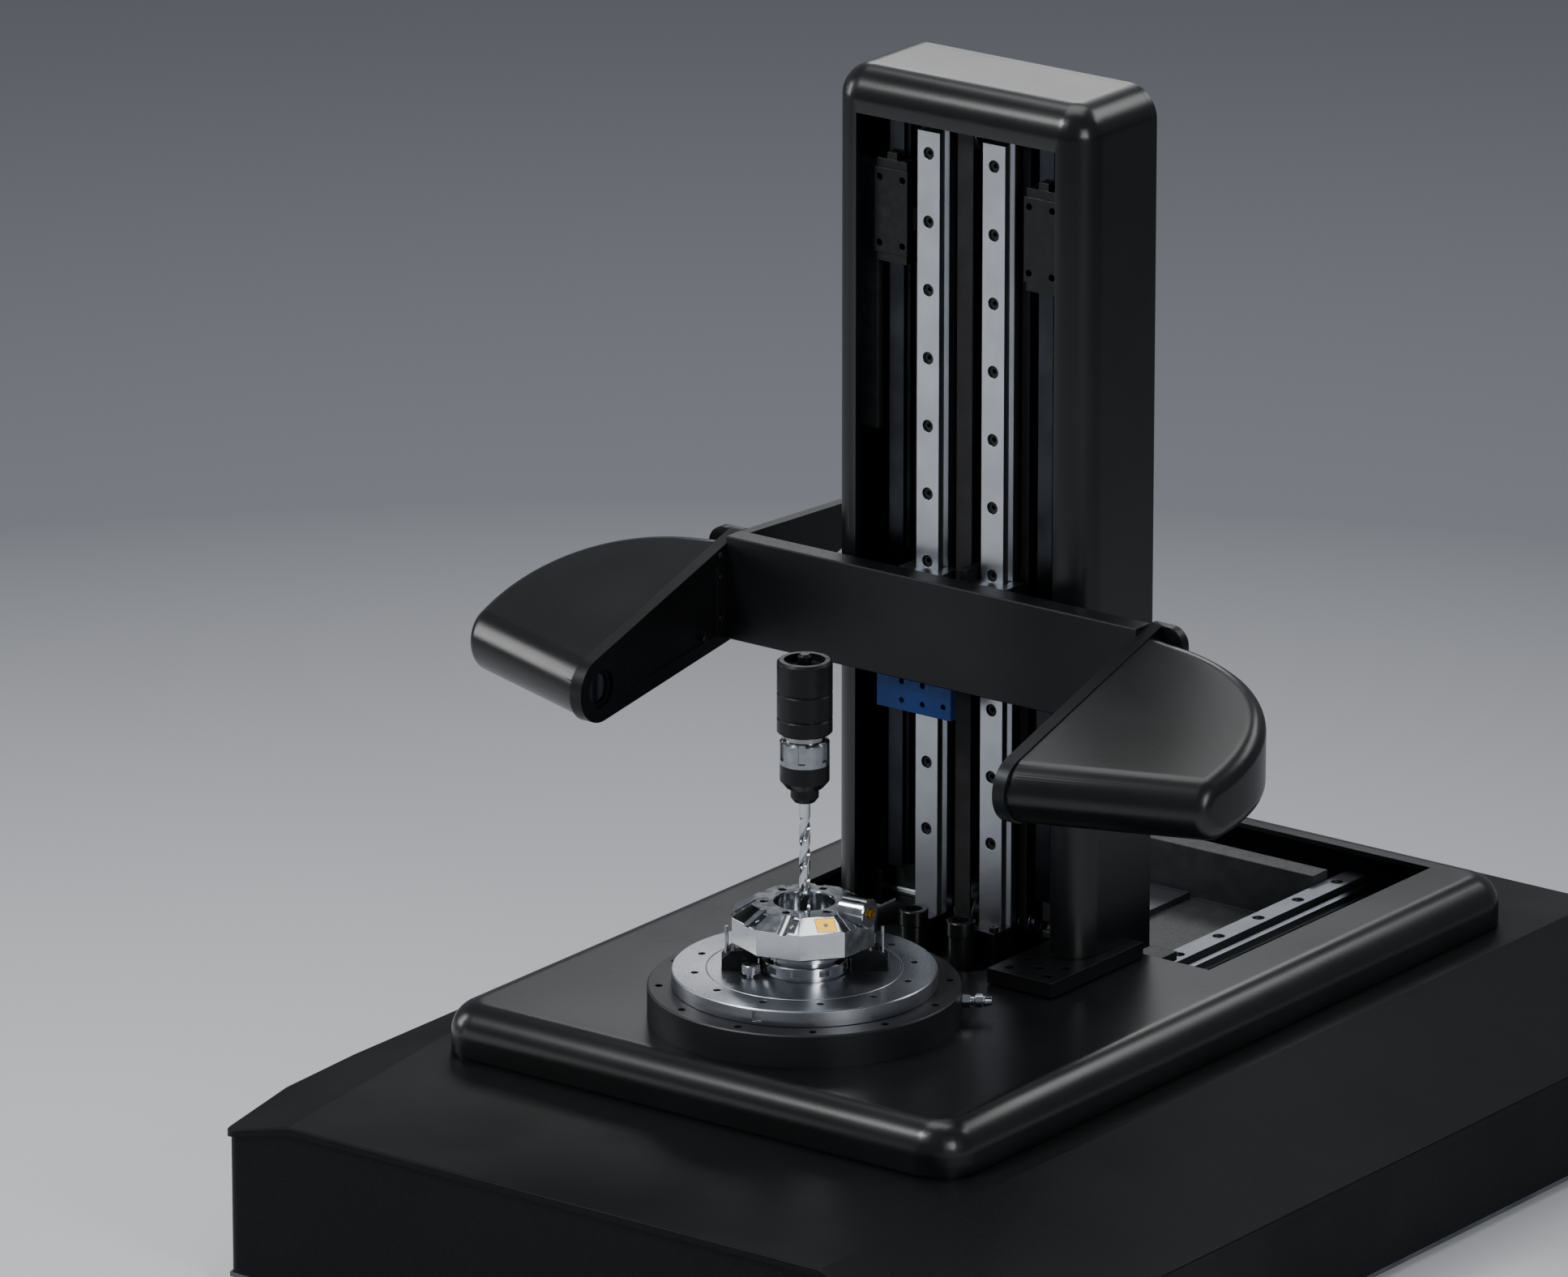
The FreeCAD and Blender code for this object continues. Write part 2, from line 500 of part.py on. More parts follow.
def table_disc():
    """Turned disc with a ring of threaded holes, a fine groove and an index notch in its edge."""
    profile = [(0, DISC_BOTTOM_Z), (DISC_RADIUS, DISC_BOTTOM_Z), (DISC_RADIUS, -1), (DISC_RADIUS - 1, 0),
               (DISC_GROOVE + 0.6, 0), (DISC_GROOVE, -0.6), (DISC_GROOVE - 0.6, 0), (0, 0)]
    holes = [rod(DISC_HOLE, p, Z, DISC_HOLE_DEPTH + 1) for p in polar(DISC_HOLES, DISC_PITCH, -DISC_HOLE_DEPTH, 15)]
    notch = box(-4, 4, -DISC_RADIUS - 2, 3 - DISC_RADIUS, -11, -2.5)
    notch.rotate(ORIGIN, Z, NOTCH_TURN)
    return turned(profile).cut(holes + [notch])


def spindle_shaft():
    """Spindle with the motor's rotor on it, bolted under the disc."""
    bottom = SPINDLE_BOTTOM_Z + 5
    return turned([(0, bottom), (SHAFT_RADIUS, bottom), (SHAFT_RADIUS, STATOR_Z0 + 4), (ROTOR_RADIUS, STATOR_Z0 + 4),
                   (ROTOR_RADIUS, STATOR_Z1 - 4), (SHAFT_RADIUS, STATOR_Z1 - 4), (SHAFT_RADIUS, DISC_BOTTOM_Z),
                   (0, DISC_BOTTOM_Z)])


# Face mill, its arbor and the clamps that hold it

def arbor():
    """Flange with coolant slots in its side, and the collar that the mill sits on."""
    flange, top = ARBOR_FLANGE_RADIUS, ARBOR_FLANGE_TOP
    profile = [(0, 0), (flange - 2, 0), (flange - 2, 1.5), (flange, 1.5), (flange, top - 1), (flange - 1, top),
               (COLLAR_RADIUS - COLLAR_UNDERCUT, top), (COLLAR_RADIUS - COLLAR_UNDERCUT, top + 2.5),
               (COLLAR_RADIUS, top + 2.5), (COLLAR_RADIUS, COLLAR_TOP), (MILL_BORE - GAP, COLLAR_TOP),
               (MILL_BORE - GAP, ARBOR_SCREW_TOP - ARBOR_SCREW_HEAD), (0, ARBOR_SCREW_TOP - ARBOR_SCREW_HEAD)]
    slots = []
    for i in range(ARBOR_SLOTS):
        slot = box(flange - ARBOR_SLOT_DEPTH, flange + 2, -ARBOR_SLOT_DEPTH, ARBOR_SLOT_DEPTH, 3.5, top - 2.5)
        slot.rotate(ORIGIN, Z, 360.0 * (i + 0.25) / ARBOR_SLOTS)
        slots.append(slot)
    return turned(profile).cut(slots)


def arbor_screw():
    """Screw that draws the mill onto the arbor; the drill's point stands in its socket."""
    top, bottom = ARBOR_SCREW_TOP, ARBOR_SCREW_TOP - ARBOR_SCREW_HEAD
    profile = [(0, bottom), (MILL_BORE - 1, bottom), (MILL_BORE - 1, top - 1), (MILL_BORE - 2, top), (0, top)]
    socket = rod(DRILL_RADIUS + 2 * GAP, V(0, 0, top - SOCKET_DEPTH), Z, SOCKET_DEPTH + 1)
    return turned(profile).cut(socket)


MILL_CORNER = MILL_RADIUS / math.cos(math.pi / MILL_FACETS)
MILL_SLOPE = math.degrees(math.atan2(MILL_TOP - MILL_SHOULDER, MILL_RADIUS - MILL_CROWN_RADIUS))


def on_facet(shape, turn):
    """Moves a shape drawn on the XY plane onto a crown facet, its X axis down the slope and its Z axis outwards."""
    middle = V((MILL_RADIUS + MILL_CROWN_RADIUS) / 2, 0, (MILL_TOP + MILL_SHOULDER) / 2)
    placed = shape.copy()
    placed.Placement = FreeCAD.Placement(middle, FreeCAD.Rotation(Y, MILL_SLOPE)).multiply(shape.Placement)
    placed.rotate(ORIGIN, Z, turn)
    return placed


def facet_turns():
    """Azimuths of the crown's facets."""
    return [MILL_FACET_AZIMUTH + 360.0 * i / MILL_FACETS for i in range(MILL_FACETS)]


def pocket_turns():
    """Azimuths of the facets that carry a cutting insert: all but the wiper's and the setting cartridge's."""
    step = 360.0 / MILL_FACETS
    return [t for t in facet_turns()[1:] if abs((t - CARTRIDGE_AZIMUTH + 180) % 360 - 180) > step / 2]


def insert_plate(grow, width=INSERT_WIDTH, side=INSERT_SIDE, drop=1.0):
    """Insert drawn flat at one side of a facet, a little under its face, or its pocket when it is grown."""
    a, b = INSERT_LENGTH / 2 - GAP + grow, width / 2 - GAP + grow
    top = INSERT_DEPTH if grow else -drop
    return box(-a, a, side - b, side + b, -INSERT_DEPTH, top)


def face_mill():
    """Polished cutter body: ten flat sides and a faceted crown, bored, with insert pockets and chip gullets."""
    profile = [(COLLAR_RADIUS - 3, COLLAR_TOP), (COLLAR_RADIUS + 2, COLLAR_TOP), (COLLAR_RADIUS + 2, MILL_BOTTOM),
               (MILL_CORNER + 1, MILL_BOTTOM), (MILL_CORNER + 1, MILL_TOP), (MILL_BORE + 1, MILL_TOP),
               (MILL_BORE, MILL_TOP - 1), (MILL_BORE, COLLAR_TOP)]
    corners = [radial(turn + 180.0 / MILL_FACETS, MILL_CORNER, 0) for turn in facet_turns()]
    body = turned(profile).common(in_xy([(p.x, p.y) for p in corners], 0, MILL_TOP + 1))
    lower = [e for e in body.Edges if e.CenterOfMass.z < MILL_BOTTOM + 0.01 and
             math.hypot(e.CenterOfMass.x, e.CenterOfMass.y) > MILL_RADIUS - 1]
    body = body.makeChamfer(1.5, lower)
    r = MILL_RADIUS
    over = box(-r, r, -r, r, 0, r)
    cuts = [on_facet(over, turn) for turn in facet_turns()]
    cuts += [rod(MILL_FACE_HOLE, p, Z, 10) for p in polar(6, (MILL_BORE + MILL_CROWN_RADIUS) / 2, MILL_TOP - 8, 40)]
    gullet = rod(GULLET_RADIUS, V(-r, GULLET_SIDE, GULLET_RADIUS - GULLET_DEPTH), X, 2 * r)
    for turn in pocket_turns():
        cuts.append(on_facet(insert_plate(GAP), turn))
        cuts.append(on_facet(gullet, turn))
    cuts.append(on_facet(insert_plate(GAP, WIPER_WIDTH, WIPER_SIDE), MILL_FACET_AZIMUTH))
    cuts.append(rod(CARTRIDGE_RADIUS + GAP, cartridge_start(), radial(CARTRIDGE_AZIMUTH, 1, 0), r))
    return body.cut(cuts)


def cartridge_start():
    """Middle of the setting cartridge's inner end."""
    return radial(CARTRIDGE_AZIMUTH, MILL_CROWN_RADIUS - CARTRIDGE_SEAT, CARTRIDGE_Z)


def mill_inserts():
    """Indexable inserts seated flat in their pockets, each with its screw hole, and one broad wiper insert."""
    plate = insert_plate(0).cut(rod(INSERT_HOLE, V(0, INSERT_SIDE, -INSERT_DEPTH - 1), Z, INSERT_DEPTH + 1))
    wiper = insert_plate(0, WIPER_WIDTH, WIPER_SIDE, 0.1)
    wiper = wiper.cut(rod(INSERT_HOLE, V(0, WIPER_SIDE, -INSERT_DEPTH - 1), Z, INSERT_DEPTH + 1))
    return Part.makeCompound([on_facet(plate, turn) for turn in pocket_turns()] +
                             [on_facet(wiper, MILL_FACET_AZIMUTH)])


def mill_cartridge():
    """Round setting cartridge in the mill's side, with its screw."""
    outward = radial(CARTRIDGE_AZIMUTH, 1, 0)
    start = cartridge_start()
    length = MILL_RADIUS - MILL_CROWN_RADIUS + 2 * CARTRIDGE_SEAT
    body = turned([(0, 0), (CARTRIDGE_RADIUS, 0), (CARTRIDGE_RADIUS, length - 1), (CARTRIDGE_RADIUS - 1, length),
                   (4.6, length), (4.6, length - 2), (0, length - 2)], start, outward)
    screw = cap_screw(start + outward * (length - 2), outward, 4.0, 4.2, 1.9)
    return Part.makeCompound([body, screw])


def hold_down_clamps():
    """Clamp blocks on the disc that hold the arbor's flange down."""
    clamps = []
    for azimuth in CLAMP_AZIMUTHS:
        side = [(CLAMP_R0, ARBOR_FLANGE_TOP), (ARBOR_FLANGE_RADIUS + 0.5, ARBOR_FLANGE_TOP),
                (ARBOR_FLANGE_RADIUS + 0.5, 0), (CLAMP_R1, 0), (CLAMP_R1, CLAMP_TOP - 8), (CLAMP_R1 - 8, CLAMP_TOP),
                (CLAMP_R0 + 6, CLAMP_TOP), (CLAMP_R0, ARBOR_FLANGE_TOP + 3)]
        wire = Part.makePolygon([V(a, -CLAMP_WIDTH / 2, b) for a, b in side] +
                                [V(side[0][0], -CLAMP_WIDTH / 2, side[0][1])])
        clamp = Part.Face(wire).extrude(Y * CLAMP_WIDTH)
        clamp = clamp.cut(rod(STUD_RADIUS, V(MILL_CORNER + STUD_RADIUS + 1, 0, CLAMP_TOP - 5), Z, CLAMP_TOP))
        clamp.rotate(ORIGIN, Z, azimuth)
        clamps.append(clamp)
    return Part.makeCompound(clamps)


def clamp_bolts():
    """Cap screws on the clamps and the knurled thumb screws beside them."""
    pieces = []
    for azimuth in CLAMP_AZIMUTHS:
        pieces.append(cap_screw(radial(azimuth, (ARBOR_FLANGE_RADIUS + CLAMP_R1) / 2, CLAMP_TOP), Z, CLAMP_CAP, CLAMP_CAP))
        foot = radial(azimuth, MILL_CORNER + STUD_RADIUS + 1, CLAMP_TOP - 5)
        pieces.append(rod(STUD_RADIUS, foot, Z, STUD_TOP - CLAMP_TOP + 5))
        place = radial(azimuth + 24, ARBOR_FLANGE_RADIUS + THUMB_RADIUS + 3.5, 0)
        r, top = THUMB_RADIUS, THUMB_TOP
        pieces.append(turned([(0, 0), (r - 4, 0), (r - 4, 2.5), (r, 2.5), (r, top - 1), (r - 1, top), (0, top)], place))
    return Part.makeCompound(pieces)


# Drill and chuck

def chuck_body():
    """Round chuck body with two grooves, a recessed end and the draw stud in the recess."""
    r, top, bottom = CHUCK_RADIUS, CHUCK_TOP, CHUCK_BOTTOM
    low, high = CHUCK_GROOVES
    profile = [(0, bottom), (r - 1.5, bottom), (r, bottom + 1.5), (r, low - 1.2), (r - 1.2, low), (r, low + 1.2),
               (r, high - 1.2), (r - 1.2, high), (r, high + 1.2), (r, top - 2), (r - 2, top), (r - 6, top),
               (r - 6, top - 7), (6, top - 7), (6, top + 3), (4, top + 5), (0, top + 5)]
    return turned(profile)


def chuck_nut():
    """Bright neck and nut under the body, with spanner slots round the nut."""
    profile = [(0, NUT_BOTTOM), (NUT_RADIUS, NUT_BOTTOM), (NUT_RADIUS, NUT_BOTTOM + 19), (NUT_RADIUS - 2, CHUCK_BOTTOM - 6),
               (NUT_RADIUS - 4, CHUCK_BOTTOM - 6), (NUT_RADIUS - 4, CHUCK_BOTTOM), (0, CHUCK_BOTTOM)]
    slots = []
    for i in range(6):
        slot = box(NUT_RADIUS - 2, NUT_RADIUS + 1, -3, 3, NUT_BOTTOM + 4, NUT_BOTTOM + 24)
        slot.rotate(ORIGIN, Z, 60.0 * i)
        slots.append(slot)
    return turned(profile).cut(slots)


def collet_nut():
    """Black chamfered collet nut with its nose."""
    r = NUT_RADIUS
    return turned([(0, NOSE_BOTTOM), (NOSE_RADIUS - 3, NOSE_BOTTOM), (NOSE_RADIUS, NOSE_BOTTOM + 4),
                   (NOSE_RADIUS, COLLET_NUT_BOTTOM), (r - 5, COLLET_NUT_BOTTOM), (r, COLLET_NUT_BOTTOM + 6),
                   (r, NUT_BOTTOM), (0, NUT_BOTTOM)])


def drill_section(turn, z, scale=1.0):
    """Two-fluted drill section at a height, as a closed outline."""
    points = []
    for i in range(DRILL_CORNERS):
        angle = 2 * math.pi * i / DRILL_CORNERS
        flute = max(0.0, math.cos(2 * angle)) ** 0.6
        reach = DRILL_RADIUS * scale * (1 - (1 - DRILL_WEB) * flute * 0.8)
        points.append(V(reach * math.cos(angle + turn), reach * math.sin(angle + turn), z))
    return Part.makePolygon(points + points[:1])


def twist_drill():
    """Twist drill: a fluted section lofted along its helix, with a point and a plain shank."""
    shank_z = NOSE_BOTTOM - DRILL_SHANK
    tip_z = ARBOR_SCREW_TOP - SOCKET_DEPTH + GAP
    point = DRILL_RADIUS * 0.6
    sections = [drill_section(0, tip_z, 0.12)]
    for i in range(DRILL_SECTIONS + 1):
        z = tip_z + point + (shank_z - tip_z - point) * i / DRILL_SECTIONS
        sections.append(drill_section(2 * math.pi * (z - tip_z - point) / DRILL_TWIST_PITCH, z))
    flutes = Part.makeLoft(sections, True, True)
    shank = rod(DRILL_RADIUS, V(0, 0, shank_z), Z, NOSE_BOTTOM - shank_z)
    return flutes.fuse(shank)


# Column

def column_saddle():
    """Stepped saddle: thin wings over the sliding blocks and a deep keel between them."""
    wings = box(-SADDLE_X, SADDLE_X, SADDLE_FRONT + 24, SADDLE_BACK, SADDLE_TOP_Z - SADDLE_WING, SADDLE_TOP_Z)
    tongue = box(-OPENING_STEP_X + 4, OPENING_STEP_X - 4, SADDLE_FRONT, SADDLE_BACK,
                 SADDLE_TOP_Z - 2 * SADDLE_WING, SADDLE_TOP_Z)
    keel = box(-SADDLE_KEEL_X, SADDLE_KEEL_X, SADDLE_FRONT + 24, SADDLE_BACK, SADDLE_KEEL_Z, SADDLE_TOP_Z)
    return wings.fuse([tongue, keel]).removeSplitter()


def block_body(width, height, length, rail_width, rail_height, rail_gap):
    """Sliding block along +Z with its top on y = -height, end caps and a slot that runs on the rail."""
    half, lift = width / 2, 5.0
    body = box(-half, half, -height, -lift, 8, length - 8)
    caps = [box(-half + 1.5, half - 1.5, -height + 1.5, -lift - 0.5, z0, z1) for z0, z1 in ((0, 8), (length - 8, length))]
    slot = box(-rail_width / 2 - rail_gap, rail_width / 2 + rail_gap, -rail_height - rail_gap, 1, -1, length + 1)
    return body.fuse(caps).cut(slot)


def saddle_blocks():
    """Four sliding blocks under the saddle's wings."""
    blocks = []
    lift = SADDLE_TOP_Z - SADDLE_WING
    for y in (SADDLE_FRONT + 26, SADDLE_BACK - 2 - Y_BLOCK_LENGTH):
        block = block_body(Y_BLOCK_WIDTH, lift - Y_RAIL_SEAT_Z, Y_BLOCK_LENGTH, Y_RAIL_WIDTH, Y_RAIL_HEIGHT, GAP)
        block.Placement = FreeCAD.Placement(V(Y_RAIL_X, y, Y_RAIL_SEAT_Z), FreeCAD.Rotation(X, -90))
        blocks += [block, mirrored(block)]
    return Part.makeCompound(blocks)


def motor_coil():
    """Coil unit of the linear motor under the saddle's keel, a hair above the magnet track."""
    return box(TRACK_X0 + 3, TRACK_X1 - 3, SADDLE_FRONT + 30, SADDLE_BACK - 6, BED_FLOOR_Z + TRACK_THICK + 1, SADDLE_KEEL_Z)


def foot_plate():
    """Drilled foot plate that runs just above the plinth's top at the column's right foot."""
    z0 = PLINTH_Z + SLIDE
    plate = box(FOOT_PLATE_X0, FOOT_PLATE_X1, FOOT_PLATE_FRONT, FOOT_PLATE_BACK, z0, z0 + FOOT_PLATE_THICK)
    places = ((14, 14), (14, 40), (34, 27), (53, 14), (53, 40))
    holes = [rod(4.3, V(FOOT_PLATE_X0 + dx, FOOT_PLATE_FRONT + dy, z0 - 1), Z, FOOT_PLATE_THICK + 2) for dx, dy in places]
    return plate.cut(holes)


RIB_BOTTOM_Z = PLINTH_Z + SLIDE + FOOT_PLATE_THICK


def column_frame():
    """Ribbed casting: a back web, ribs that carry the four rails, and bearing bores for the belt shafts."""
    rib, side = Z_RAIL_WIDTH / 2 - 0.5, SIDE_RAIL_WIDTH / 2 + 3
    web = box(-SIDE_RAIL_X - side - 4, SIDE_RAIL_X + side + 4, FRAME_WEB_FRONT, FRAME_WEB_BACK, RIB_BOTTOM_Z, FRAME_TOP_Z)
    pieces = [web]
    for s in (-1, 1):
        pieces.append(box(s * Z_RAIL_X - rib, s * Z_RAIL_X + rib, Z_RAIL_SEAT_Y, FRAME_WEB_BACK, SADDLE_TOP_Z, FRAME_TOP_Z))
        pieces.append(box(s * SIDE_RAIL_X - side, s * SIDE_RAIL_X + side, SIDE_RAIL_SEAT_Y, FRAME_WEB_BACK,
                          RIB_BOTTOM_Z, FRAME_TOP_Z))
    foot = box(-OPENING_STEP_X + 4, OPENING_STEP_X - 4, SHAFT_Y + 2 * BELT_THICK + DRIVE_PULLEY + 2, FRAME_WEB_BACK + 4,
               SADDLE_TOP_Z, RIB_BOTTOM_Z + 2)
    bores = [rod(BELT_SHAFT_RADIUS + RUN, V(-COLUMN_X, SHAFT_Y, z), X, 2 * COLUMN_X) for z in (HEAD_SHAFT_Z, FOOT_SHAFT_Z)]
    return pieces[0].fuse(pieces[1:] + [foot]).cut(bores).removeSplitter()


def column_cover():
    """U-shaped hood with bullnose front corners and crown, open at the front from the mouth's top to its foot."""
    bottom = PLINTH_Z + SLIDE
    outline = rectangle(-COLUMN_X, COLUMN_X, COLUMN_FRONT, COLUMN_BACK - COLUMN_WALL)
    outer = in_xy(outline, bottom, COLUMN_TOP_Z)
    front = [e for e in outer.Edges if e.CenterOfMass.y < COLUMN_FRONT + 0.01 and abs(e.CenterOfMass.x) > 1]
    outer = outer.makeFillet(COLUMN_CORNER, front)
    crown = [e for e in outer.Edges if e.CenterOfMass.z > COLUMN_TOP_Z - 0.01
             and e.CenterOfMass.y < COLUMN_BACK - COLUMN_WALL - 0.01]
    outer = outer.makeFillet(COLUMN_CROWN, crown)
    w = COLUMN_WALL
    inner = in_xy(rectangle(-COLUMN_X + w, COLUMN_X - w, COLUMN_FRONT + w, COLUMN_BACK), bottom - 1, COLUMN_TOP_Z - w)
    corners = [e for e in inner.Edges if e.CenterOfMass.y < COLUMN_FRONT + w + 0.01 and abs(e.CenterOfMass.x) > 1]
    inner = inner.makeFillet(COLUMN_CORNER - w, corners)
    inner_crown = [e for e in inner.Edges if e.CenterOfMass.z > COLUMN_TOP_Z - w - 0.01
                   and e.CenterOfMass.y < COLUMN_BACK - 0.01]
    inner = inner.makeFillet(COLUMN_CROWN - w, inner_crown)
    mouth = box(-MOUTH_X, MOUTH_X, COLUMN_FRONT - 1, COLUMN_FRONT + 40, bottom - 1, MOUTH_TOP_Z)
    step = box(FOOT_PLATE_X0, COLUMN_X + 1, COLUMN_FRONT - 1, FOOT_PLATE_BACK + GAP, bottom - 1, RIB_BOTTOM_Z + GAP)
    return outer.cut([inner, mouth, step])


def column_back_cover():
    """Flat back panel that closes the hood, with rounded top corners like the hood's."""
    panel = box(-COLUMN_X, COLUMN_X, COLUMN_BACK - COLUMN_WALL, COLUMN_BACK, PLINTH_Z + SLIDE, COLUMN_TOP_Z)
    top = [e for e in panel.Edges if abs(e.tangentAt(0).y) > 0.9 and e.CenterOfMass.z > COLUMN_TOP_Z - 0.01]
    return panel.makeFillet(COLUMN_CROWN, top)


def z_rails():
    """Two vertical rails with counterbored screw holes."""
    rail = rail_bar(Z_RAIL_WIDTH, Z_RAIL_HEIGHT, Z_RAIL_TOP - Z_RAIL_BOTTOM)
    rail.translate(V(Z_RAIL_X, Z_RAIL_SEAT_Y, Z_RAIL_BOTTOM))
    face = Z_RAIL_SEAT_Y - Z_RAIL_HEIGHT
    holes = [rod(COUNTERBORE, V(Z_RAIL_X, face - 1, z), Y, COUNTERBORE_DEPTH + 1) for z in z_hole_levels()]
    return both(rail.cut(holes))


def z_rail_screws():
    """Cap screws in the vertical rails and in the blocks at their feet."""
    seat = Z_RAIL_SEAT_Y - Z_RAIL_HEIGHT + COUNTERBORE_DEPTH
    screws = [cap_screw(V(Z_RAIL_X, seat, z), Y * -1) for z in z_hole_levels()]
    screws.append(cap_screw(V(Z_RAIL_X + 9, 212, Z_RAIL_BOTTOM), Z, 4.0, 4.0, 1.9))
    return both(Part.makeCompound(screws))


def side_rails():
    """Two narrow rails outside the main pair, for the counterweights."""
    rail = rail_bar(SIDE_RAIL_WIDTH, SIDE_RAIL_HEIGHT, SIDE_RAIL_TOP - SIDE_RAIL_BOTTOM)
    return both(rail.translated(V(SIDE_RAIL_X, SIDE_RAIL_SEAT_Y, SIDE_RAIL_BOTTOM)))


def rail_foot_blocks():
    """Blocks on the saddle that the vertical rails stand on."""
    half = WEIGHT_BELT_X - WEIGHT_BELT_WIDTH / 2 - Z_RAIL_X - 0.5
    return both(box(Z_RAIL_X - half, Z_RAIL_X + half, 205, Z_RAIL_SEAT_Y - GAP, SADDLE_TOP_Z, Z_RAIL_BOTTOM))


def buffers():
    """Two round travel buffers with hollow tops, in front of the rails."""
    r, top = BUFFER_RADIUS, BUFFER_TOP_Z
    profile = [(0, SADDLE_TOP_Z), (r - 1, SADDLE_TOP_Z), (r - 1, top - 14), (r, top - 13), (r, top - 1), (r - 1, top),
               (r - 5, top), (r - 5, top - 8), (0, top - 8)]
    return both(turned(profile, V(BUFFER_X, BUFFER_Y, 0)))


def belt_loop(radius, width, x):
    """Closed flat loop round a head and a foot pulley."""
    def slab(r, half):
        wall = box(x - half, x + half, SHAFT_Y - r, SHAFT_Y + r, FOOT_SHAFT_Z, HEAD_SHAFT_Z)
        ends = [rod(r, V(x - half, SHAFT_Y, z), X, 2 * half) for z in (FOOT_SHAFT_Z, HEAD_SHAFT_Z)]
        return wall.fuse(ends)
    return slab(radius + BELT_THICK, width / 2).cut(slab(radius, width / 2 + 1)).removeSplitter()


def pulley(radius, width, x, z):
    """Flanged belt pulley about the shaft's line."""
    half = width / 2
    profile = [(BELT_SHAFT_RADIUS, -half - 1.5), (radius + 0.6 * BELT_THICK, -half - 1.5),
               (radius + 0.6 * BELT_THICK, -half - 0.3), (radius - 0.3, -half - 0.3), (radius - 0.3, half + 0.3),
               (radius + 0.6 * BELT_THICK, half + 0.3), (radius + 0.6 * BELT_THICK, half + 1.5),
               (BELT_SHAFT_RADIUS, half + 1.5)]
    return turned(profile, V(x, SHAFT_Y, z), X)


def belt_shaft(z, left, right):
    """Shaft with the drive pulley in the middle and the two weight pulleys beside it."""
    shaft = rod(BELT_SHAFT_RADIUS, V(left, SHAFT_Y, z), X, right - left)
    wheels = [pulley(DRIVE_PULLEY, DRIVE_BELT_WIDTH, 0, z)]
    wheels += [pulley(WEIGHT_PULLEY, WEIGHT_BELT_WIDTH, s * WEIGHT_BELT_X, z) for s in (-1, 1)]
    return shaft.fuse(wheels)


SHAFT_END_X = WEIGHT_BELT_X + WEIGHT_BELT_WIDTH / 2 + 3
MOTOR_X0 = -SIDE_RAIL_X - SIDE_RAIL_WIDTH / 2 - 6.5


def z_motor():
    """Gear motor of the carriage drive at the foot of the column, coaxial with the foot shaft."""
    can = box(-COLUMN_X + COLUMN_WALL + 3, MOTOR_X0, SHAFT_Y - 20, SHAFT_Y + 20, RIB_BOTTOM_Z + 1, FOOT_SHAFT_Z + 21)
    return can.cut(rod(BELT_SHAFT_RADIUS + RUN, V(MOTOR_X0 - 20, SHAFT_Y, FOOT_SHAFT_Z), X, 21))


def z_scale():
    """Measuring scale on the inner face of the right main rib."""
    x = Z_RAIL_X - Z_RAIL_WIDTH / 2 + 0.5
    return box(x - SCALE_THICK, x, Z_RAIL_SEAT_Y + 3, Z_RAIL_SEAT_Y + 15, SCALE_Z0, SCALE_Z1)


# Counterweights

def weight_runners():
    """Counterweight runners on the side rails, with end caps and four corner screw pockets."""
    height = SIDE_RAIL_SEAT_Y - WEIGHT_FRONT_Y
    runner = block_body(WEIGHT_WIDTH, height, WEIGHT_Z1 - WEIGHT_Z0, SIDE_RAIL_WIDTH, SIDE_RAIL_HEIGHT, GAP)
    runner.translate(V(SIDE_RAIL_X, SIDE_RAIL_SEAT_Y, WEIGHT_Z0))
    pockets = [rod(3.2, V(SIDE_RAIL_X + dx, WEIGHT_FRONT_Y - 1, z), Y, 7)
               for dx in (-12, 12) for z in (WEIGHT_Z0 + 16, WEIGHT_Z1 - 16)]
    stub = box(SIDE_RAIL_X - 4, SIDE_RAIL_X + 6, WEIGHT_FRONT_Y + 3, WEIGHT_FRONT_Y + 8, WEIGHT_Z1 - 4, WEIGHT_Z1 + 6)
    return both(runner.cut(pockets).fuse(stub))


def weight_bars():
    """Cast weights beside the runners, hidden by the hood's lips, with the arms that grip the belts."""
    back = SIDE_RAIL_SEAT_Y + 45
    lug_x = SIDE_RAIL_X + WEIGHT_WIDTH / 2
    bar = box(WEIGHT_BAR_X0, WEIGHT_BAR_X1, WEIGHT_FRONT_Y + 8, back, WEIGHT_BAR_Z0, WEIGHT_Z1 - 4)
    lug = box(lug_x, WEIGHT_BAR_X0 + 1, WEIGHT_FRONT_Y + 8, SIDE_RAIL_SEAT_Y - 6, WEIGHT_Z0 + 10, WEIGHT_Z1 - 10)
    arm_x = SIDE_RAIL_X - WEIGHT_WIDTH / 2
    belt_back = SHAFT_Y + WEIGHT_PULLEY + BELT_THICK
    arm = box(arm_x - 3, arm_x, WEIGHT_FRONT_Y + 8, belt_back + 4, WEIGHT_Z0 + 30, WEIGHT_Z0 + 50)
    grip = box(WEIGHT_BELT_X - 4, arm_x - 1, belt_back + 0.4, belt_back + 4, WEIGHT_Z0 + 30, WEIGHT_Z0 + 50)
    return both(Part.makeCompound([bar.fuse(lug), arm.fuse(grip)]))


# Camera carriage

BEAM_BACK = BLOCK_FRONT_Y
BEAM_FRONT = BEAM_BACK - BEAM_THICK
BLOCK_Z0 = (BEAM_BOTTOM + BEAM_TOP - BLOCK_LENGTH) / 2


def carriage_blocks():
    """One sliding block on each main rail."""
    block = block_body(BLOCK_WIDTH, Z_RAIL_SEAT_Y - BLOCK_FRONT_Y, BLOCK_LENGTH, Z_RAIL_WIDTH, Z_RAIL_HEIGHT, GAP)
    return both(block.translated(V(Z_RAIL_X, Z_RAIL_SEAT_Y, BLOCK_Z0)))


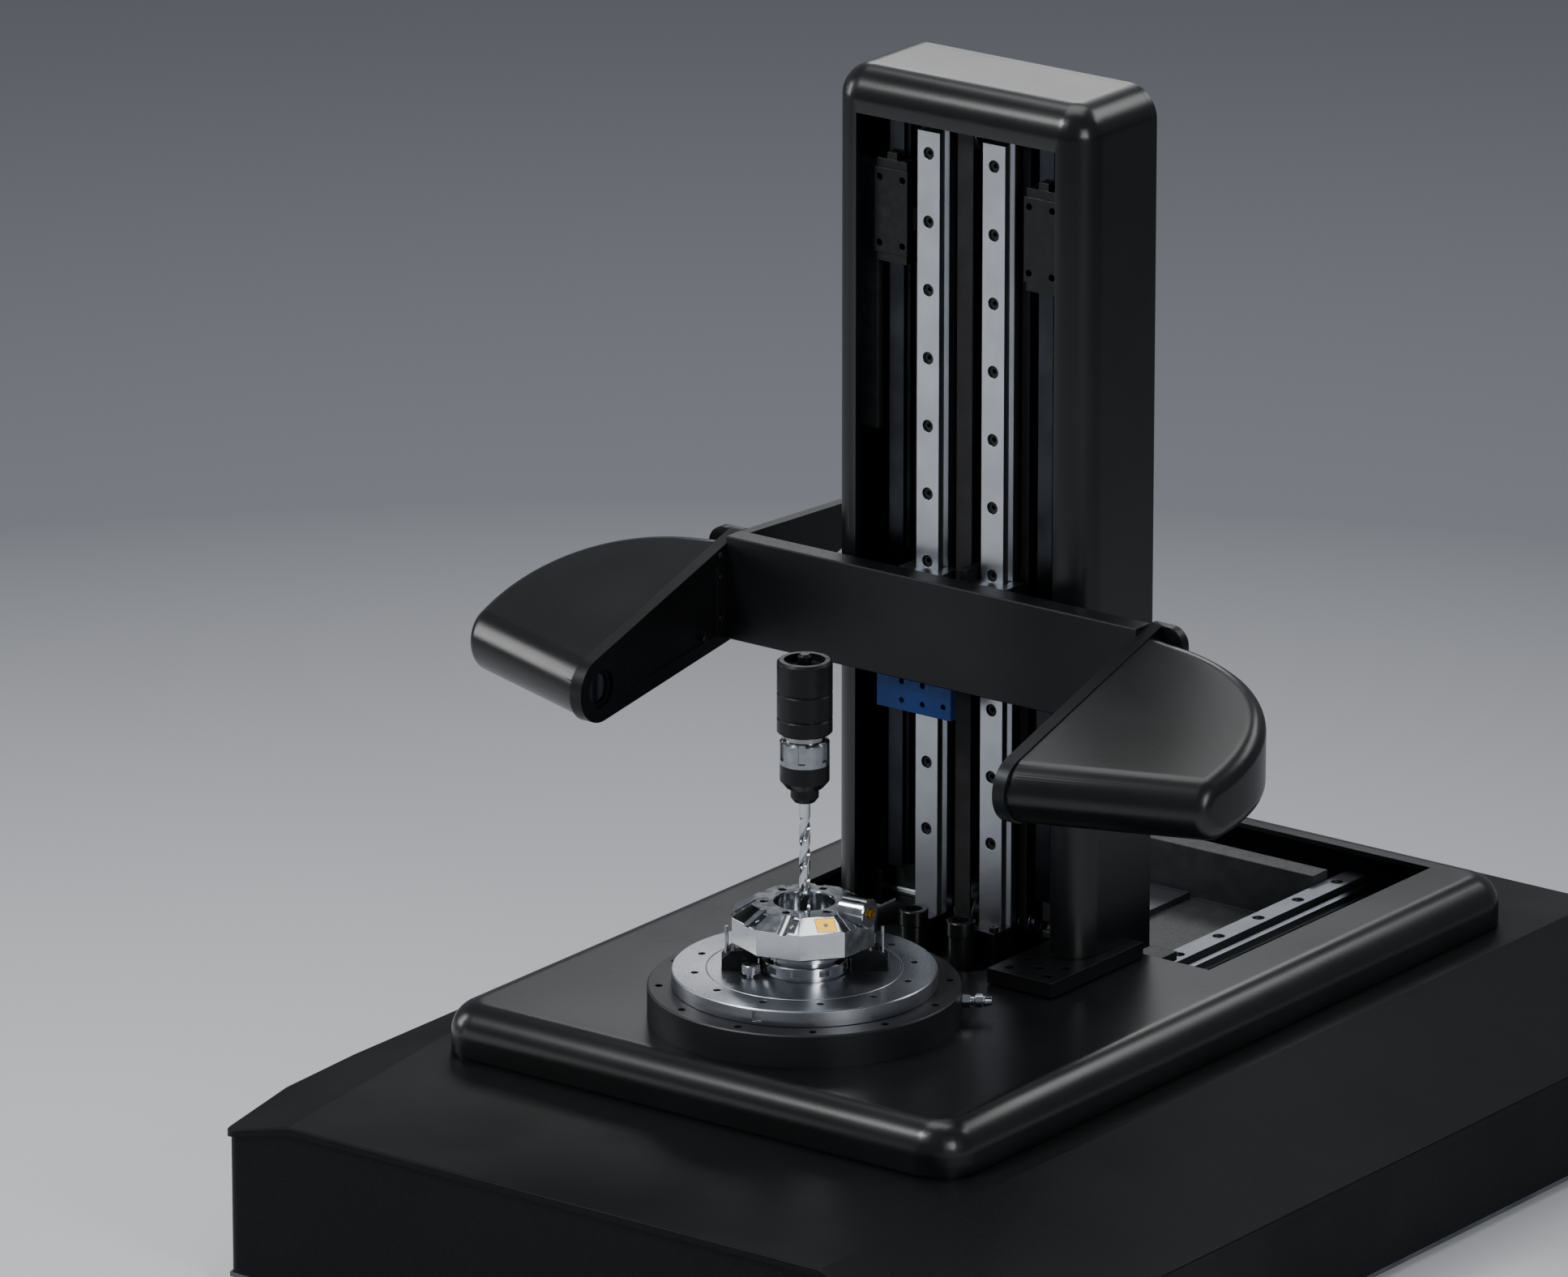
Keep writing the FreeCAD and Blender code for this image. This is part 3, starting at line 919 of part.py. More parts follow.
def cross_beam():
    """Flat beam across the column with a pocket at the back for the drive plate."""
    beam = box(-BEAM_X, BEAM_X, BEAM_FRONT, BEAM_BACK, BEAM_BOTTOM, BEAM_TOP)
    pocket = box(PLATE_X0 - GAP, PLATE_X1 + GAP, BEAM_BACK - PLATE_THICK, BEAM_BACK + 1, BEAM_BOTTOM - 1, PLATE_Z1)
    edges = [e for e in beam.Edges if e.CenterOfMass.y < BEAM_FRONT + 0.01 and abs(e.CenterOfMass.x) < 1]
    return beam.makeChamfer(1.0, edges).cut(pocket)


def drive_plate():
    """Drilled plate that hangs from the beam's back pocket."""
    plate = box(PLATE_X0, PLATE_X1, BEAM_BACK - PLATE_THICK, BEAM_BACK, PLATE_Z0, PLATE_Z1)
    holes = [rod(2.6, V(PLATE_X0 + dx, BEAM_BACK - PLATE_THICK - 1, PLATE_Z0 + dz), Y, PLATE_THICK + 2)
             for dx, dz in ((26, 9), (48, 9), (70, 11), (26, 26), (48, 26))]
    return plate.cut(holes)


def belt_clamp():
    """Clamp between the sliding blocks that grips the drive belt."""
    return box(-7, 7, BEAM_BACK, SHAFT_Y - DRIVE_PULLEY - BELT_THICK - 0.3, BEAM_BOTTOM + 32, BEAM_TOP - 20)


def read_head():
    """Scale reader on the end of the right sliding block."""
    scale_face = Z_RAIL_X - Z_RAIL_WIDTH / 2 + 0.5 - SCALE_THICK
    top = BLOCK_Z0 + BLOCK_LENGTH
    return box(Z_RAIL_X - BLOCK_WIDTH / 2 + 2, scale_face - 0.5, BLOCK_FRONT_Y + 8, Z_RAIL_SEAT_Y + 17, top, top + 12)


def cable_bracket():
    """Plate that runs back from the beam's left end past the column, to carry the camera's cables."""
    side = [(BEAM_BACK, BEAM_BOTTOM), (BRACKET_BACK - 60, BEAM_BOTTOM + 34), (BRACKET_BACK, BEAM_TOP - 40),
            (BRACKET_BACK, BEAM_TOP - 8), (BEAM_BACK, BEAM_TOP)]
    plate = in_yz(side, -BEAM_X, BRACKET_THICK - BEAM_X)
    holes = [rod(3.3, V(-BEAM_X - 1, BRACKET_BACK - 14, BEAM_TOP - dz), X, BRACKET_THICK + 2) for dz in (17, 33)]
    return plate.cut(holes)


ARM_ROOT_Y = BEAM_BACK
ARM_SLOPE = math.tan(math.radians(ARM_SWEEP))


def arm_side(thin):
    """Side view of an arm as a face at x = 0: deep at the root, with a round nose about the optical axis."""
    nose = ARM_NOSE - thin
    top, bottom = V(0, ARM_ROOT_Y + 200, BEAM_TOP - thin), V(0, ARM_ROOT_Y + 200, BEAM_BOTTOM + thin)
    root_top, root_bottom = V(0, ARM_ROOT_Y, BEAM_TOP - thin), V(0, ARM_ROOT_Y, BEAM_BOTTOM + thin)
    centre = V(0, 0, AXIS_Z)
    upper = tangent_point(centre, nose, root_top, 1)
    lower = tangent_point(centre, nose, root_bottom, -1)
    tip = V(0, -nose, AXIS_Z)
    edges = [Part.LineSegment(upper, root_top).toShape(), Part.LineSegment(root_top, top).toShape(),
             Part.LineSegment(top, bottom).toShape(), Part.LineSegment(bottom, root_bottom).toShape(),
             Part.LineSegment(root_bottom, lower).toShape(), Part.Arc(lower, tip, upper).toShape()]
    return Part.Face(Part.Wire(edges))


def tangent_point(centre, radius, point, side):
    """Point where a line from a point touches a circle in the YZ plane, above or below."""
    reach = point - centre
    distance = math.hypot(reach.y, reach.z)
    toward = math.atan2(reach.z, reach.y) + side * math.acos(radius / distance)
    return centre + V(0, radius * math.cos(toward), radius * math.sin(toward))


def arm_plate():
    """Flat inner plate of an arm: bored for the lens, its inner face sunk between a raised rim and the lens boss, and
    flanged behind the cover at its root."""
    plate = arm_side(0).extrude(X * ARM_PLATE).translated(V(BEAM_X, 0, 0))
    keep = box(BEAM_X - 1, BEAM_X + ARM_PLATE + 1, -ARM_NOSE - 1, ARM_ROOT_Y + ROOT_FLANGE_THICK, 0, BEAM_TOP + 1)
    bore = rod(LENS_BORE, V(BEAM_X - 1, 0, AXIS_Z), X, ARM_PLATE + 2)
    panel = arm_side(PANEL_INSET).extrude(X * (PANEL_DEPTH + 1)).translated(V(BEAM_X - 1, 0, 0))
    panel = panel.common(box(BEAM_X - 2, BEAM_X + ARM_PLATE, 0, BEAM_FRONT - PANEL_INSET, 0, BEAM_TOP))
    panel = panel.cut(rod(PANEL_ROUND, V(BEAM_X - 2, 0, AXIS_Z), X, ARM_PLATE))
    flange = box(BEAM_X, BEAM_X + ROOT_FLANGE_REACH, ARM_ROOT_Y, ARM_ROOT_Y + ROOT_FLANGE_THICK, BEAM_BOTTOM, BEAM_TOP)
    outer = [e for e in flange.Edges if e.CenterOfMass.x > BEAM_X + ROOT_FLANGE_REACH - 0.01
             and abs(e.tangentAt(e.FirstParameter).y) > 0.9]
    flange = flange.makeFillet(ARM_RIM, outer)
    return plate.common(keep).fuse(flange).removeSplitter().cut([bore, panel])


def arm_plan(thin):
    """Plan outline of an arm's cover: it leaves the beam flat, bulges outwards and ends just before the swept nose."""
    x0, x1 = BEAM_X + ARM_PLATE, ARM_REACH_X - thin
    front, back = -ARM_NOSE - 10, ARM_ROOT_Y - thin
    tip_y = (ARM_REACH_X - BEAM_X) * ARM_SLOPE - ARM_NOSE - ARM_TIP_LEAD + thin
    flat_end, tip = V(x0 + ARM_BACK_FLAT, back, 0), V(x1 - ARM_TIP_IN, tip_y, 0)
    side = Part.BezierCurve()
    side.setPoles([flat_end, V(x1 - ARM_SHOULDER, back, 0), V(x1 + ARM_BULGE, back - ARM_BULGE_DEPTH, 0),
                   V(x1, tip_y + ARM_TIP_DEPTH, 0), tip])
    corners = [tip, V(tip.x, min(front, tip_y - ARM_NOSE), 0), V(x0, min(front, tip_y - ARM_NOSE), 0), V(x0, back, 0),
               flat_end]
    lines = [Part.LineSegment(a, b).toShape() for a, b in zip(corners, corners[1:])]
    return Part.Face(Part.Wire([side.toShape()] + lines))


def arm_body(thin):
    """Solid form of an arm's cover: its side view swept outwards and back, within its plan outline."""
    reach = ARM_REACH_X - BEAM_X + ARM_RIM
    swept = arm_side(thin).extrude(V(reach, reach * ARM_SLOPE, 0)).translated(V(BEAM_X, 0, 0))
    plan = arm_plan(thin).extrude(Z * (BEAM_TOP + ARM_RIM))
    return swept.common(plan)


def arm_cover():
    """Hollow cover of an arm with its outer rim rounded."""
    outer = arm_body(0)
    sweep = V(1, ARM_SLOPE, 0).normalize()
    rim = []
    for edge in outer.Edges:
        half_way = (edge.FirstParameter + edge.LastParameter) / 2
        along = edge.tangentAt(half_way)
        outside = edge.valueAt(half_way).x > BEAM_X + ARM_PLATE + ARM_BACK_FLAT + 1
        if outside and abs(along.z) < 0.8 and abs(along.dot(sweep)) < 0.99:
            rim.append(edge)
    outer = outer.makeFillet(ARM_RIM, rim)
    core = box(BEAM_X, ARM_REACH_X - ARM_RIM, -ARM_NOSE, ARM_ROOT_Y, AXIS_Z - ARM_NOSE, BEAM_TOP)
    return outer.cut(arm_body(ARM_WALL).common(core))


def camera_unit():
    """Lens barrel in the arm plate's bore, a prism housing behind it and the body that lies back in the arm."""
    seat = ARM_PLATE - LENS_RECESS + GAP
    inner, outer, flange = LENS_BORE - BARREL_WALL, LENS_BORE - GAP, LENS_BORE + BARREL_FLANGE
    end = seat + BARREL_FLANGE_THICK
    barrel = turned([(inner, 0), (outer, 0), (outer, seat), (flange, seat), (flange, end), (inner, end)],
                    V(BEAM_X + LENS_RECESS, 0, AXIS_Z), X)
    x, half = BEAM_X + LENS_RECESS + end - 0.7, CAMERA_HALF
    prism = box(x, x + 2 * half, 4 - half - 1, 2 * half - 1, AXIS_Z - half - 1, AXIS_Z + half + 1)
    back = 2 * half - 2
    body = box(x + 3, x + 52, back, back + CAMERA_LENGTH, AXIS_Z - half, AXIS_Z + 2 * half - 2)
    return barrel.fuse([prism, body])


def lens_glass():
    """Round lens in the mouth of a barrel."""
    return rod(LENS_BORE - BARREL_WALL - RUN, V(BEAM_X + LENS_RECESS + 2, 0, AXIS_Z), X, 3)


def save(name, shape):
    """Writes one piece, after a check that it is closed and valid."""
    if not shape.isValid():
        print("not valid:", name)
    shape.exportStep("parts/" + name + ".step")
    print(name, len(shape.Solids), round(shape.Volume))


def main():
    """Writes every piece."""
    os.makedirs("parts", exist_ok=True)
    save("deck_cover", deck_cover())
    save("base_skirt", base_skirt())
    save("rear_inlet", rear_inlet())
    save("bottom_plate", bottom_plate())
    save("levelling_feet", levelling_feet())
    save("machine_bed", machine_bed())
    save("plinth_cover", plinth_cover())
    save("base_rails", base_rails())
    save("base_rail_screws", base_rail_screws())
    save("magnet_track", magnet_track())
    save("table_ring", table_ring())
    save("ring_screws", ring_screws())
    save("air_nipple", air_nipple())
    save("spindle_bearing", spindle_bearing())
    save("spindle_motor", spindle_motor())
    save("table_disc", table_disc())
    save("spindle_shaft", spindle_shaft())
    save("arbor", arbor())
    save("arbor_screw", arbor_screw())
    save("face_mill", face_mill())
    save("mill_inserts", mill_inserts())
    save("mill_cartridge", mill_cartridge())
    save("hold_down_clamps", hold_down_clamps())
    save("clamp_bolts", clamp_bolts())
    save("chuck_body", chuck_body())
    save("chuck_nut", chuck_nut())
    save("collet_nut", collet_nut())
    save("twist_drill", twist_drill())
    save("column_saddle", column_saddle())
    save("saddle_blocks", saddle_blocks())
    save("motor_coil", motor_coil())
    save("foot_plate", foot_plate())
    save("column_frame", column_frame())
    save("column_cover", column_cover())
    save("column_back_cover", column_back_cover())
    save("z_rails", z_rails())
    save("z_rail_screws", z_rail_screws())
    save("side_rails", side_rails())
    save("rail_foot_blocks", rail_foot_blocks())
    save("buffers", buffers())
    save("drive_belt", belt_loop(DRIVE_PULLEY, DRIVE_BELT_WIDTH, 0))
    save("weight_belts", both(belt_loop(WEIGHT_PULLEY, WEIGHT_BELT_WIDTH, WEIGHT_BELT_X)))
    save("head_shaft", belt_shaft(HEAD_SHAFT_Z, -SHAFT_END_X, SHAFT_END_X))
    save("foot_shaft", belt_shaft(FOOT_SHAFT_Z, MOTOR_X0 - 16, SHAFT_END_X))
    save("z_motor", z_motor())
    save("z_scale", z_scale())
    save("weight_runners", weight_runners())
    save("weight_bars", weight_bars())
    save("carriage_blocks", carriage_blocks())
    save("cross_beam", cross_beam())
    save("drive_plate", drive_plate())
    save("belt_clamp", belt_clamp())
    save("read_head", read_head())
    save("cable_bracket", cable_bracket())
    save("lamp_arm_plate", arm_plate())
    save("camera_arm_plate", mirrored(arm_plate()))
    save("lamp_arm_cover", arm_cover())
    save("camera_arm_cover", mirrored(arm_cover()))
    save("camera_and_lamp", both(camera_unit()))
    save("lenses", both(lens_glass()))


main()
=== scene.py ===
"""Tool presetter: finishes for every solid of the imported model, and the fine pieces that the solids leave out.

Metres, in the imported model's frame: +Z up along the spindle axis, -Y towards the operator, +X to the lamp arm.
"""
import json
import math

import bmesh
import bpy
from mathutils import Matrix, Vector

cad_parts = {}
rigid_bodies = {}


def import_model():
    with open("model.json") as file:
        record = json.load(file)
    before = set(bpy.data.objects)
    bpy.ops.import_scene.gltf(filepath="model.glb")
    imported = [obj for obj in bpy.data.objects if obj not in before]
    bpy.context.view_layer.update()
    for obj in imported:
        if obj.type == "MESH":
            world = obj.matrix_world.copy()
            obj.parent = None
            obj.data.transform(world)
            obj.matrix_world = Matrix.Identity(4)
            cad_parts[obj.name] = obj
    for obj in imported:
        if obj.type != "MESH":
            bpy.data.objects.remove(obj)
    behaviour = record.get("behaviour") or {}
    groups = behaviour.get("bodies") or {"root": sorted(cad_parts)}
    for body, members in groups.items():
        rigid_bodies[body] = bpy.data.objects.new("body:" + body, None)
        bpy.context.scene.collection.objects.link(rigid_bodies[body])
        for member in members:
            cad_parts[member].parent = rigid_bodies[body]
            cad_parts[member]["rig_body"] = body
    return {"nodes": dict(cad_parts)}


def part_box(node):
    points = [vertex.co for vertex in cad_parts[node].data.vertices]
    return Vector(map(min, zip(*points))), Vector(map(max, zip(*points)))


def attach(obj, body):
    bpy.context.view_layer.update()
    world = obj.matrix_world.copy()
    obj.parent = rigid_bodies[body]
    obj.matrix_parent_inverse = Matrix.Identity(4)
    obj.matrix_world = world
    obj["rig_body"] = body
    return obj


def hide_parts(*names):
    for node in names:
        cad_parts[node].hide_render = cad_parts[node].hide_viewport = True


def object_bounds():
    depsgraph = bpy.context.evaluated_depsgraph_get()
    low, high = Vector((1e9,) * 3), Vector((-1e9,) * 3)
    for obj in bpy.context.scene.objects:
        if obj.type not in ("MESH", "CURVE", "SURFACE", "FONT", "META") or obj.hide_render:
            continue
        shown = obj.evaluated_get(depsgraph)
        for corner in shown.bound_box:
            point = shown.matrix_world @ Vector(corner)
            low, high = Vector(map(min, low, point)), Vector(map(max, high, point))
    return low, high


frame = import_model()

MM = 0.001
WELD, LEVEL = 0.002 * MM, math.radians(0.4)     # points this near become one, and faces this level become one
FOLD = 28.0                                     # degrees: an edge that folds by more stays sharp
cad_low, cad_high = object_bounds()
scene = bpy.context.scene
X, Y, Z = Vector((1.0, 0.0, 0.0)), Vector((0.0, 1.0, 0.0)), Vector((0.0, 0.0, 1.0))


# Camera, floor and studio light

AIM = Vector((-157.0, 180.0, 214.0)) * MM
AZIMUTH, ELEVATION, DISTANCE, LENS = 36.93, 17.96, 11.088, 297.7     # degrees, degrees, metres, millimetres

# Each lamp's name, place and aim in metres, width, height, and power in watts. The sheen lies along the hood's top,
# and the card is a low panel that the upright rails reflect.
LAMPS = [
    ("key", (-1.5, -2.4, 3.3), (0.0, 0.1, 0.2), 1.1, 1.1, 115.0),
    ("side", (3.0, -1.1, 1.2), (0.0, 0.1, 0.3), 0.7, 1.4, 30.0),
    ("left", (-3.2, -0.8, 1.1), (0.0, 0.1, 0.3), 0.7, 1.6, 30.0),
    ("top", (-0.5, 0.9, 3.2), (0.0, 0.1, 0.2), 2.0, 2.0, 40.0),
    ("rim", (1.4, 3.0, 2.8), (0.0, 0.2, 0.3), 2.4, 1.0, 36.0),
    ("sheen", (-1.65, 2.8, 1.86), (0.0, 0.2, 0.5), 1.5, 0.7, 14.0),
    ("card", (-1.17, -1.35, 0.0), (0.0, 0.2, 0.5), 0.9, 0.5, 1.5),
]

FLOOR_REACH = 20.0
PALE_FLOOR, DARK_FLOOR = "#C2C4C8", "#64666C"
LIGHT_POOL_SPOT, PALE_REACH, DARK_REACH = (0.35, -0.6), 0.5, 2.8     # metres: centre of the painted pool of light, where the floor is palest, and how far it reaches
FLOOR_GLOW = 0.16


def place_camera():
    """Camera at the photograph's angle and distance."""
    turn, rise = math.radians(AZIMUTH), math.radians(ELEVATION)
    back = Vector((math.sin(turn) * math.cos(rise), -math.cos(turn) * math.cos(rise), math.sin(rise)))
    data = bpy.data.cameras.new("camera")
    data.lens, data.sensor_width = LENS, 36.0
    data.clip_start, data.clip_end = 0.1, 200.0
    camera = bpy.data.objects.new("camera", data)
    camera.location = AIM + back * DISTANCE
    camera.rotation_mode = "QUATERNION"
    camera.rotation_quaternion = (-back).to_track_quat("-Z", "Y")
    scene.collection.objects.link(camera)
    scene.camera = camera


def softbox(name, place, aim, width, height, power):
    """Rectangular studio lamp that faces a point, and that the camera itself doesn't see."""
    data = bpy.data.lights.new(name, "AREA")
    data.shape, data.size, data.size_y, data.energy = "RECTANGLE", width, height, power
    lamp = bpy.data.objects.new(name, data)
    lamp.visible_camera = False
    lamp.location = place
    lamp.rotation_mode = "QUATERNION"
    lamp.rotation_quaternion = (Vector(aim) - Vector(place)).to_track_quat("-Z", "Y")
    scene.collection.objects.link(lamp)


def linear(code):
    """Linear colour from an sRGB hex value."""
    parts = [int(code[i:i + 2], 16) / 255 for i in (1, 3, 5)]
    return tuple(c / 12.92 if c <= 0.04045 else ((c + 0.055) / 1.055) ** 2.4 for c in parts) + (1.0,)


def add(tree, kind, feeds=(), **settings):
    """A node with its settings, and its inputs fed by values or by other nodes' sockets."""
    node = tree.nodes.new(kind)
    for key, value in settings.items():
        setattr(node, key, value)
    for key, value in dict(feeds).items():
        if isinstance(value, bpy.types.NodeSocket):
            tree.links.new(value, node.inputs[key])
        else:
            node.inputs[key].default_value = value
    return node


def seen_directly(tree):
    """1 for a ray from the camera, from a reflection or through glass, and 0 for light that falls on surfaces."""
    rays = add(tree, "ShaderNodeLightPath")
    clear = add(tree, "ShaderNodeMath", {0: rays.outputs["Is Camera Ray"], 1: rays.outputs["Is Transmission Ray"]},
                operation="MAXIMUM")
    return add(tree, "ShaderNodeMath", {0: clear.outputs[0], 1: rays.outputs["Is Glossy Ray"]},
               operation="MAXIMUM").outputs[0]


def studio_world():
    """Even soft light, with a backdrop of its own for the camera, for reflections and for clear glass."""
    world = bpy.data.worlds.new("studio")
    world.use_nodes = True
    tree = world.node_tree
    tree.nodes.clear()
    ambient = add(tree, "ShaderNodeBackground", {"Color": linear("#DDE1E6"), "Strength": 0.38})
    backdrop = add(tree, "ShaderNodeBackground", {"Color": linear("#74777D"), "Strength": 1.0})
    mixed = add(tree, "ShaderNodeMixShader", {0: seen_directly(tree), 1: ambient.outputs[0], 2: backdrop.outputs[0]})
    add(tree, "ShaderNodeOutputWorld", {"Surface": mixed.outputs[0]})
    scene.world = world


# Finishes. Each pattern's size is a real one in millimetres, unless its comment says that it is drawn coarser.

EDGE_RADIUS = 0.7


def finish(name, colour, metallic, roughness, edge=EDGE_RADIUS):
    """New material with a plain shader, its place on the object and the eased edges that catch the light."""
    material = bpy.data.materials.new(name)
    material.use_nodes = True
    tree = material.node_tree
    tree.nodes.clear()
    shader = add(tree, "ShaderNodeBsdfPrincipled",
                 {"Base Color": linear(colour), "Metallic": metallic, "Roughness": roughness})
    add(tree, "ShaderNodeOutputMaterial", {"Surface": shader.outputs["BSDF"]})
    place = add(tree, "ShaderNodeTexCoord").outputs["Object"]
    eased = add(tree, "ShaderNodeBevel", {"Radius": edge * MM}, samples=4).outputs["Normal"]
    tree.links.new(eased, shader.inputs["Normal"])
    return material, tree, shader, place, eased


def speckle(tree, place, size_mm, detail=2.0, stretch=(1.0, 1.0, 1.0)):
    """Noise whose cells are about a size across, longer along the axes whose stretch is over 1."""
    scaled = add(tree, "ShaderNodeMapping", {"Vector": place, "Scale": [1.0 / s for s in stretch]})
    return add(tree, "ShaderNodeTexNoise", {"Vector": scaled.outputs[0], "Scale": 1.0 / (size_mm * MM),
                                            "Detail": detail, "Roughness": 0.55}).outputs["Fac"]


def tint(tree, shader, pattern, low, high, start=0.35, end=0.65):
    """Base colour that runs between two colours with a pattern."""
    spread = add(tree, "ShaderNodeMapRange", {"Value": pattern, "From Min": start, "From Max": end})
    mixed = add(tree, "ShaderNodeMix", {0: spread.outputs[0], 6: linear(low), 7: linear(high)}, data_type="RGBA")
    tree.links.new(mixed.outputs[2], shader.inputs["Base Color"])


def polish(tree, shader, pattern, low, high, start=0.35, end=0.65):
    """Roughness that runs between two values with a pattern."""
    spread = add(tree, "ShaderNodeMapRange", {"Value": pattern, "From Min": start, "From Max": end,
                                              "To Min": low, "To Max": high})
    tree.links.new(spread.outputs[0], shader.inputs["Roughness"])


def waves(tree, place, pitch_mm, **settings):
    """Lines a pitch apart: level bands, unless the settings say otherwise."""
    kind = {"wave_type": "BANDS", "bands_direction": "Z", **settings}
    return add(tree, "ShaderNodeTexWave", {"Vector": place, "Scale": 2 * math.pi / (20 * pitch_mm * MM)}, **kind)


def emboss(tree, shader, pattern, under, height_mm, strength=1.0):
    """Fine relief from a pattern, over the eased edges or another relief."""
    bump = add(tree, "ShaderNodeBump", {"Height": pattern, "Normal": under, "Distance": height_mm * MM,
                                        "Strength": strength})
    tree.links.new(bump.outputs[0], shader.inputs["Normal"])
    return bump.outputs[0]


def powder_coat(name, colour, glow, roughness):
    """Polyester powder coat, sprayed and baked: a fine pebbled skin that breaks each highlight into grains.
    The real grain is about 0.8 mm and is drawn at 2.2 mm so that it shows."""
    material, tree, shader, place, eased = finish(name, colour, 0.0, roughness)
    shader.inputs["Specular IOR Level"].default_value = 0.10
    grain = speckle(tree, place, 2.2, 3.0)
    cloud = speckle(tree, place, 160.0, 2.0)
    tint(tree, shader, grain, colour, glow, 0.4, 0.75)
    polish(tree, shader, cloud, roughness - 0.05, roughness + 0.06)
    emboss(tree, shader, grain, eased, 0.16, 0.6)
    return material


def satin_paint():
    """Two-coat satin polyurethane paint over moulded covers: soft, even highlights with a slight orange peel."""
    material, tree, shader, place, eased = finish("satin_polyurethane_paint", "#0E0F10", 0.0, 0.29)
    shader.inputs["Specular IOR Level"].default_value = 0.46
    peel = speckle(tree, place, 3.5, 1.0)
    cloud = speckle(tree, place, 120.0, 2.0)
    tint(tree, shader, cloud, "#0C0D0E", "#101113")
    polish(tree, shader, cloud, 0.27, 0.31)
    emboss(tree, shader, peel, eased, 0.02, 0.8)
    return material


def anodised(name, colour, glow, roughness):
    """Bead-blasted and anodised aluminium: an even, slightly metallic dark skin with a fine silky grain."""
    material, tree, shader, place, eased = finish(name, colour, 0.55, roughness)
    silk = speckle(tree, place, 1.4, 2.0)
    cloud = speckle(tree, place, 90.0, 2.0)
    tint(tree, shader, cloud, colour, glow)
    polish(tree, shader, silk, roughness - 0.05, roughness + 0.07)
    emboss(tree, shader, silk, eased, 0.02, 0.5)
    return material


def ground_steel(name, colour, glow, roughness, stretch):
    """Hardened steel ground along its length: long fine scratches, drawn about 0.6 mm apart, that streak the
    reflections."""
    material, tree, shader, place, eased = finish(name, colour, 1.0, roughness, 0.4)
    scratch = speckle(tree, place, 0.6, 3.0, stretch)
    cloud = speckle(tree, place, 45.0, 2.0)
    tint(tree, shader, cloud, colour, glow)
    polish(tree, shader, scratch, roughness - 0.02, roughness + 0.04)
    emboss(tree, shader, scratch, eased, 0.004, 0.4)
    return material


def turned_metal(name, colour, glow, metallic, roughness, pitch_mm, height_mm):
    """Metal faced on a lathe: rings left by the tool round the spindle axis. A real cut is 0.1 mm apart and is
    drawn coarser so that it shows. Under a black anodised skin the rings are fainter and less metallic."""
    material, tree, shader, place, eased = finish(name, colour, metallic, roughness, 0.4)
    turning = waves(tree, place, pitch_mm, wave_type="RINGS", rings_direction="Z")
    for label, value in {"Distortion": 0.6, "Detail": 1.0, "Detail Scale": 1.5}.items():
        turning.inputs[label].default_value = value
    rings = turning.outputs["Fac"]
    cloud = speckle(tree, place, 60.0, 2.0)
    tint(tree, shader, cloud, colour, glow)
    polish(tree, shader, rings, roughness - 0.02, roughness + 0.05, 0.0, 1.0)
    emboss(tree, shader, rings, eased, height_mm, 0.5)
    around = add(tree, "ShaderNodeTangent", direction_type="RADIAL", axis="Z")
    tree.links.new(around.outputs[0], shader.inputs["Tangent"])
    shader.inputs["Anisotropic"].default_value = 0.55
    return material


def polished_steel(name, colour, glow, low, high):
    """Nickel-plated cutter body, polished: clear reflections with faint smears from handling."""
    material, tree, shader, place, eased = finish(name, colour, 1.0, low, 0.5)
    smear = speckle(tree, place, 9.0, 3.0)
    tint(tree, shader, smear, colour, glow)
    polish(tree, shader, smear, low, high)
    return material


def black_oxide():
    """Steel blackened in a hot salt bath: deep grey-black and half matt, with edges painted lighter: partly metal
    showing through where the skin wears off at worked edges, partly a painted edge highlight.
    """
    material, tree, shader, place, eased = finish("black_oxide_steel", "#17181A", 0.6, 0.36, 0.5)
    cloud = speckle(tree, place, 8.0, 3.0)
    flat = add(tree, "ShaderNodeNewGeometry").outputs["True Normal"]
    facing = add(tree, "ShaderNodeVectorMath", {0: eased, 1: flat}, operation="DOT_PRODUCT").outputs["Value"]
    # Edges lighter: partly metal showing through at wear, partly a painted edge highlight
    edge_wear_and_highlight = add(tree, "ShaderNodeMapRange", {"Value": facing, "From Min": 0.93, "From Max": 0.80, "To Max": 0.55})
    skin = add(tree, "ShaderNodeMix", {0: cloud, 6: linear("#121314"), 7: linear("#202225")}, data_type="RGBA")
    edge_metal_and_highlight = add(tree, "ShaderNodeMix", {0: edge_wear_and_highlight.outputs[0], 6: skin.outputs[2], 7: linear("#6C6E72")},
               data_type="RGBA")
    tree.links.new(edge_metal_and_highlight.outputs[2], shader.inputs["Base Color"])
    polish(tree, shader, cloud, 0.30, 0.44)
    return material


def cast_enamel(name, colour, glow, roughness):
    """Machine enamel brushed over a casting: the sand's coarse skin shows through as soft lumps."""
    material, tree, shader, place, eased = finish(name, colour, 0.0, roughness, 1.5)
    sand = speckle(tree, place, 2.6, 4.0)
    lump = speckle(tree, place, 14.0, 2.0)
    tint(tree, shader, lump, colour, glow)
    polish(tree, shader, sand, roughness - 0.06, roughness + 0.1)
    emboss(tree, shader, lump, emboss(tree, shader, sand, eased, 0.12, 0.6), 0.25, 0.5)
    return material


def nitride_gold():
    """Titanium nitride vapour coating on carbide: gold, hard and even, with a faint random mottle."""
    material, tree, shader, place, eased = finish("titanium_nitride_coating", "#E2AE34", 1.0, 0.24, 0.3)
    cloud = speckle(tree, place, 3.0, 2.0)
    tint(tree, shader, cloud, "#D79F2A", "#EFC04A")
    polish(tree, shader, cloud, 0.20, 0.30)
    return material


def carbide():
    """Sintered and ground tungsten carbide: a dense grey metal with a dull fine sparkle."""
    material, tree, shader, place, eased = finish("ground_tungsten_carbide", "#4A4C50", 1.0, 0.3, 0.3)
    spark = speckle(tree, place, 0.8, 3.0)
    tint(tree, shader, spark, "#3E4044", "#5A5C61")
    polish(tree, shader, spark, 0.24, 0.38)
    return material


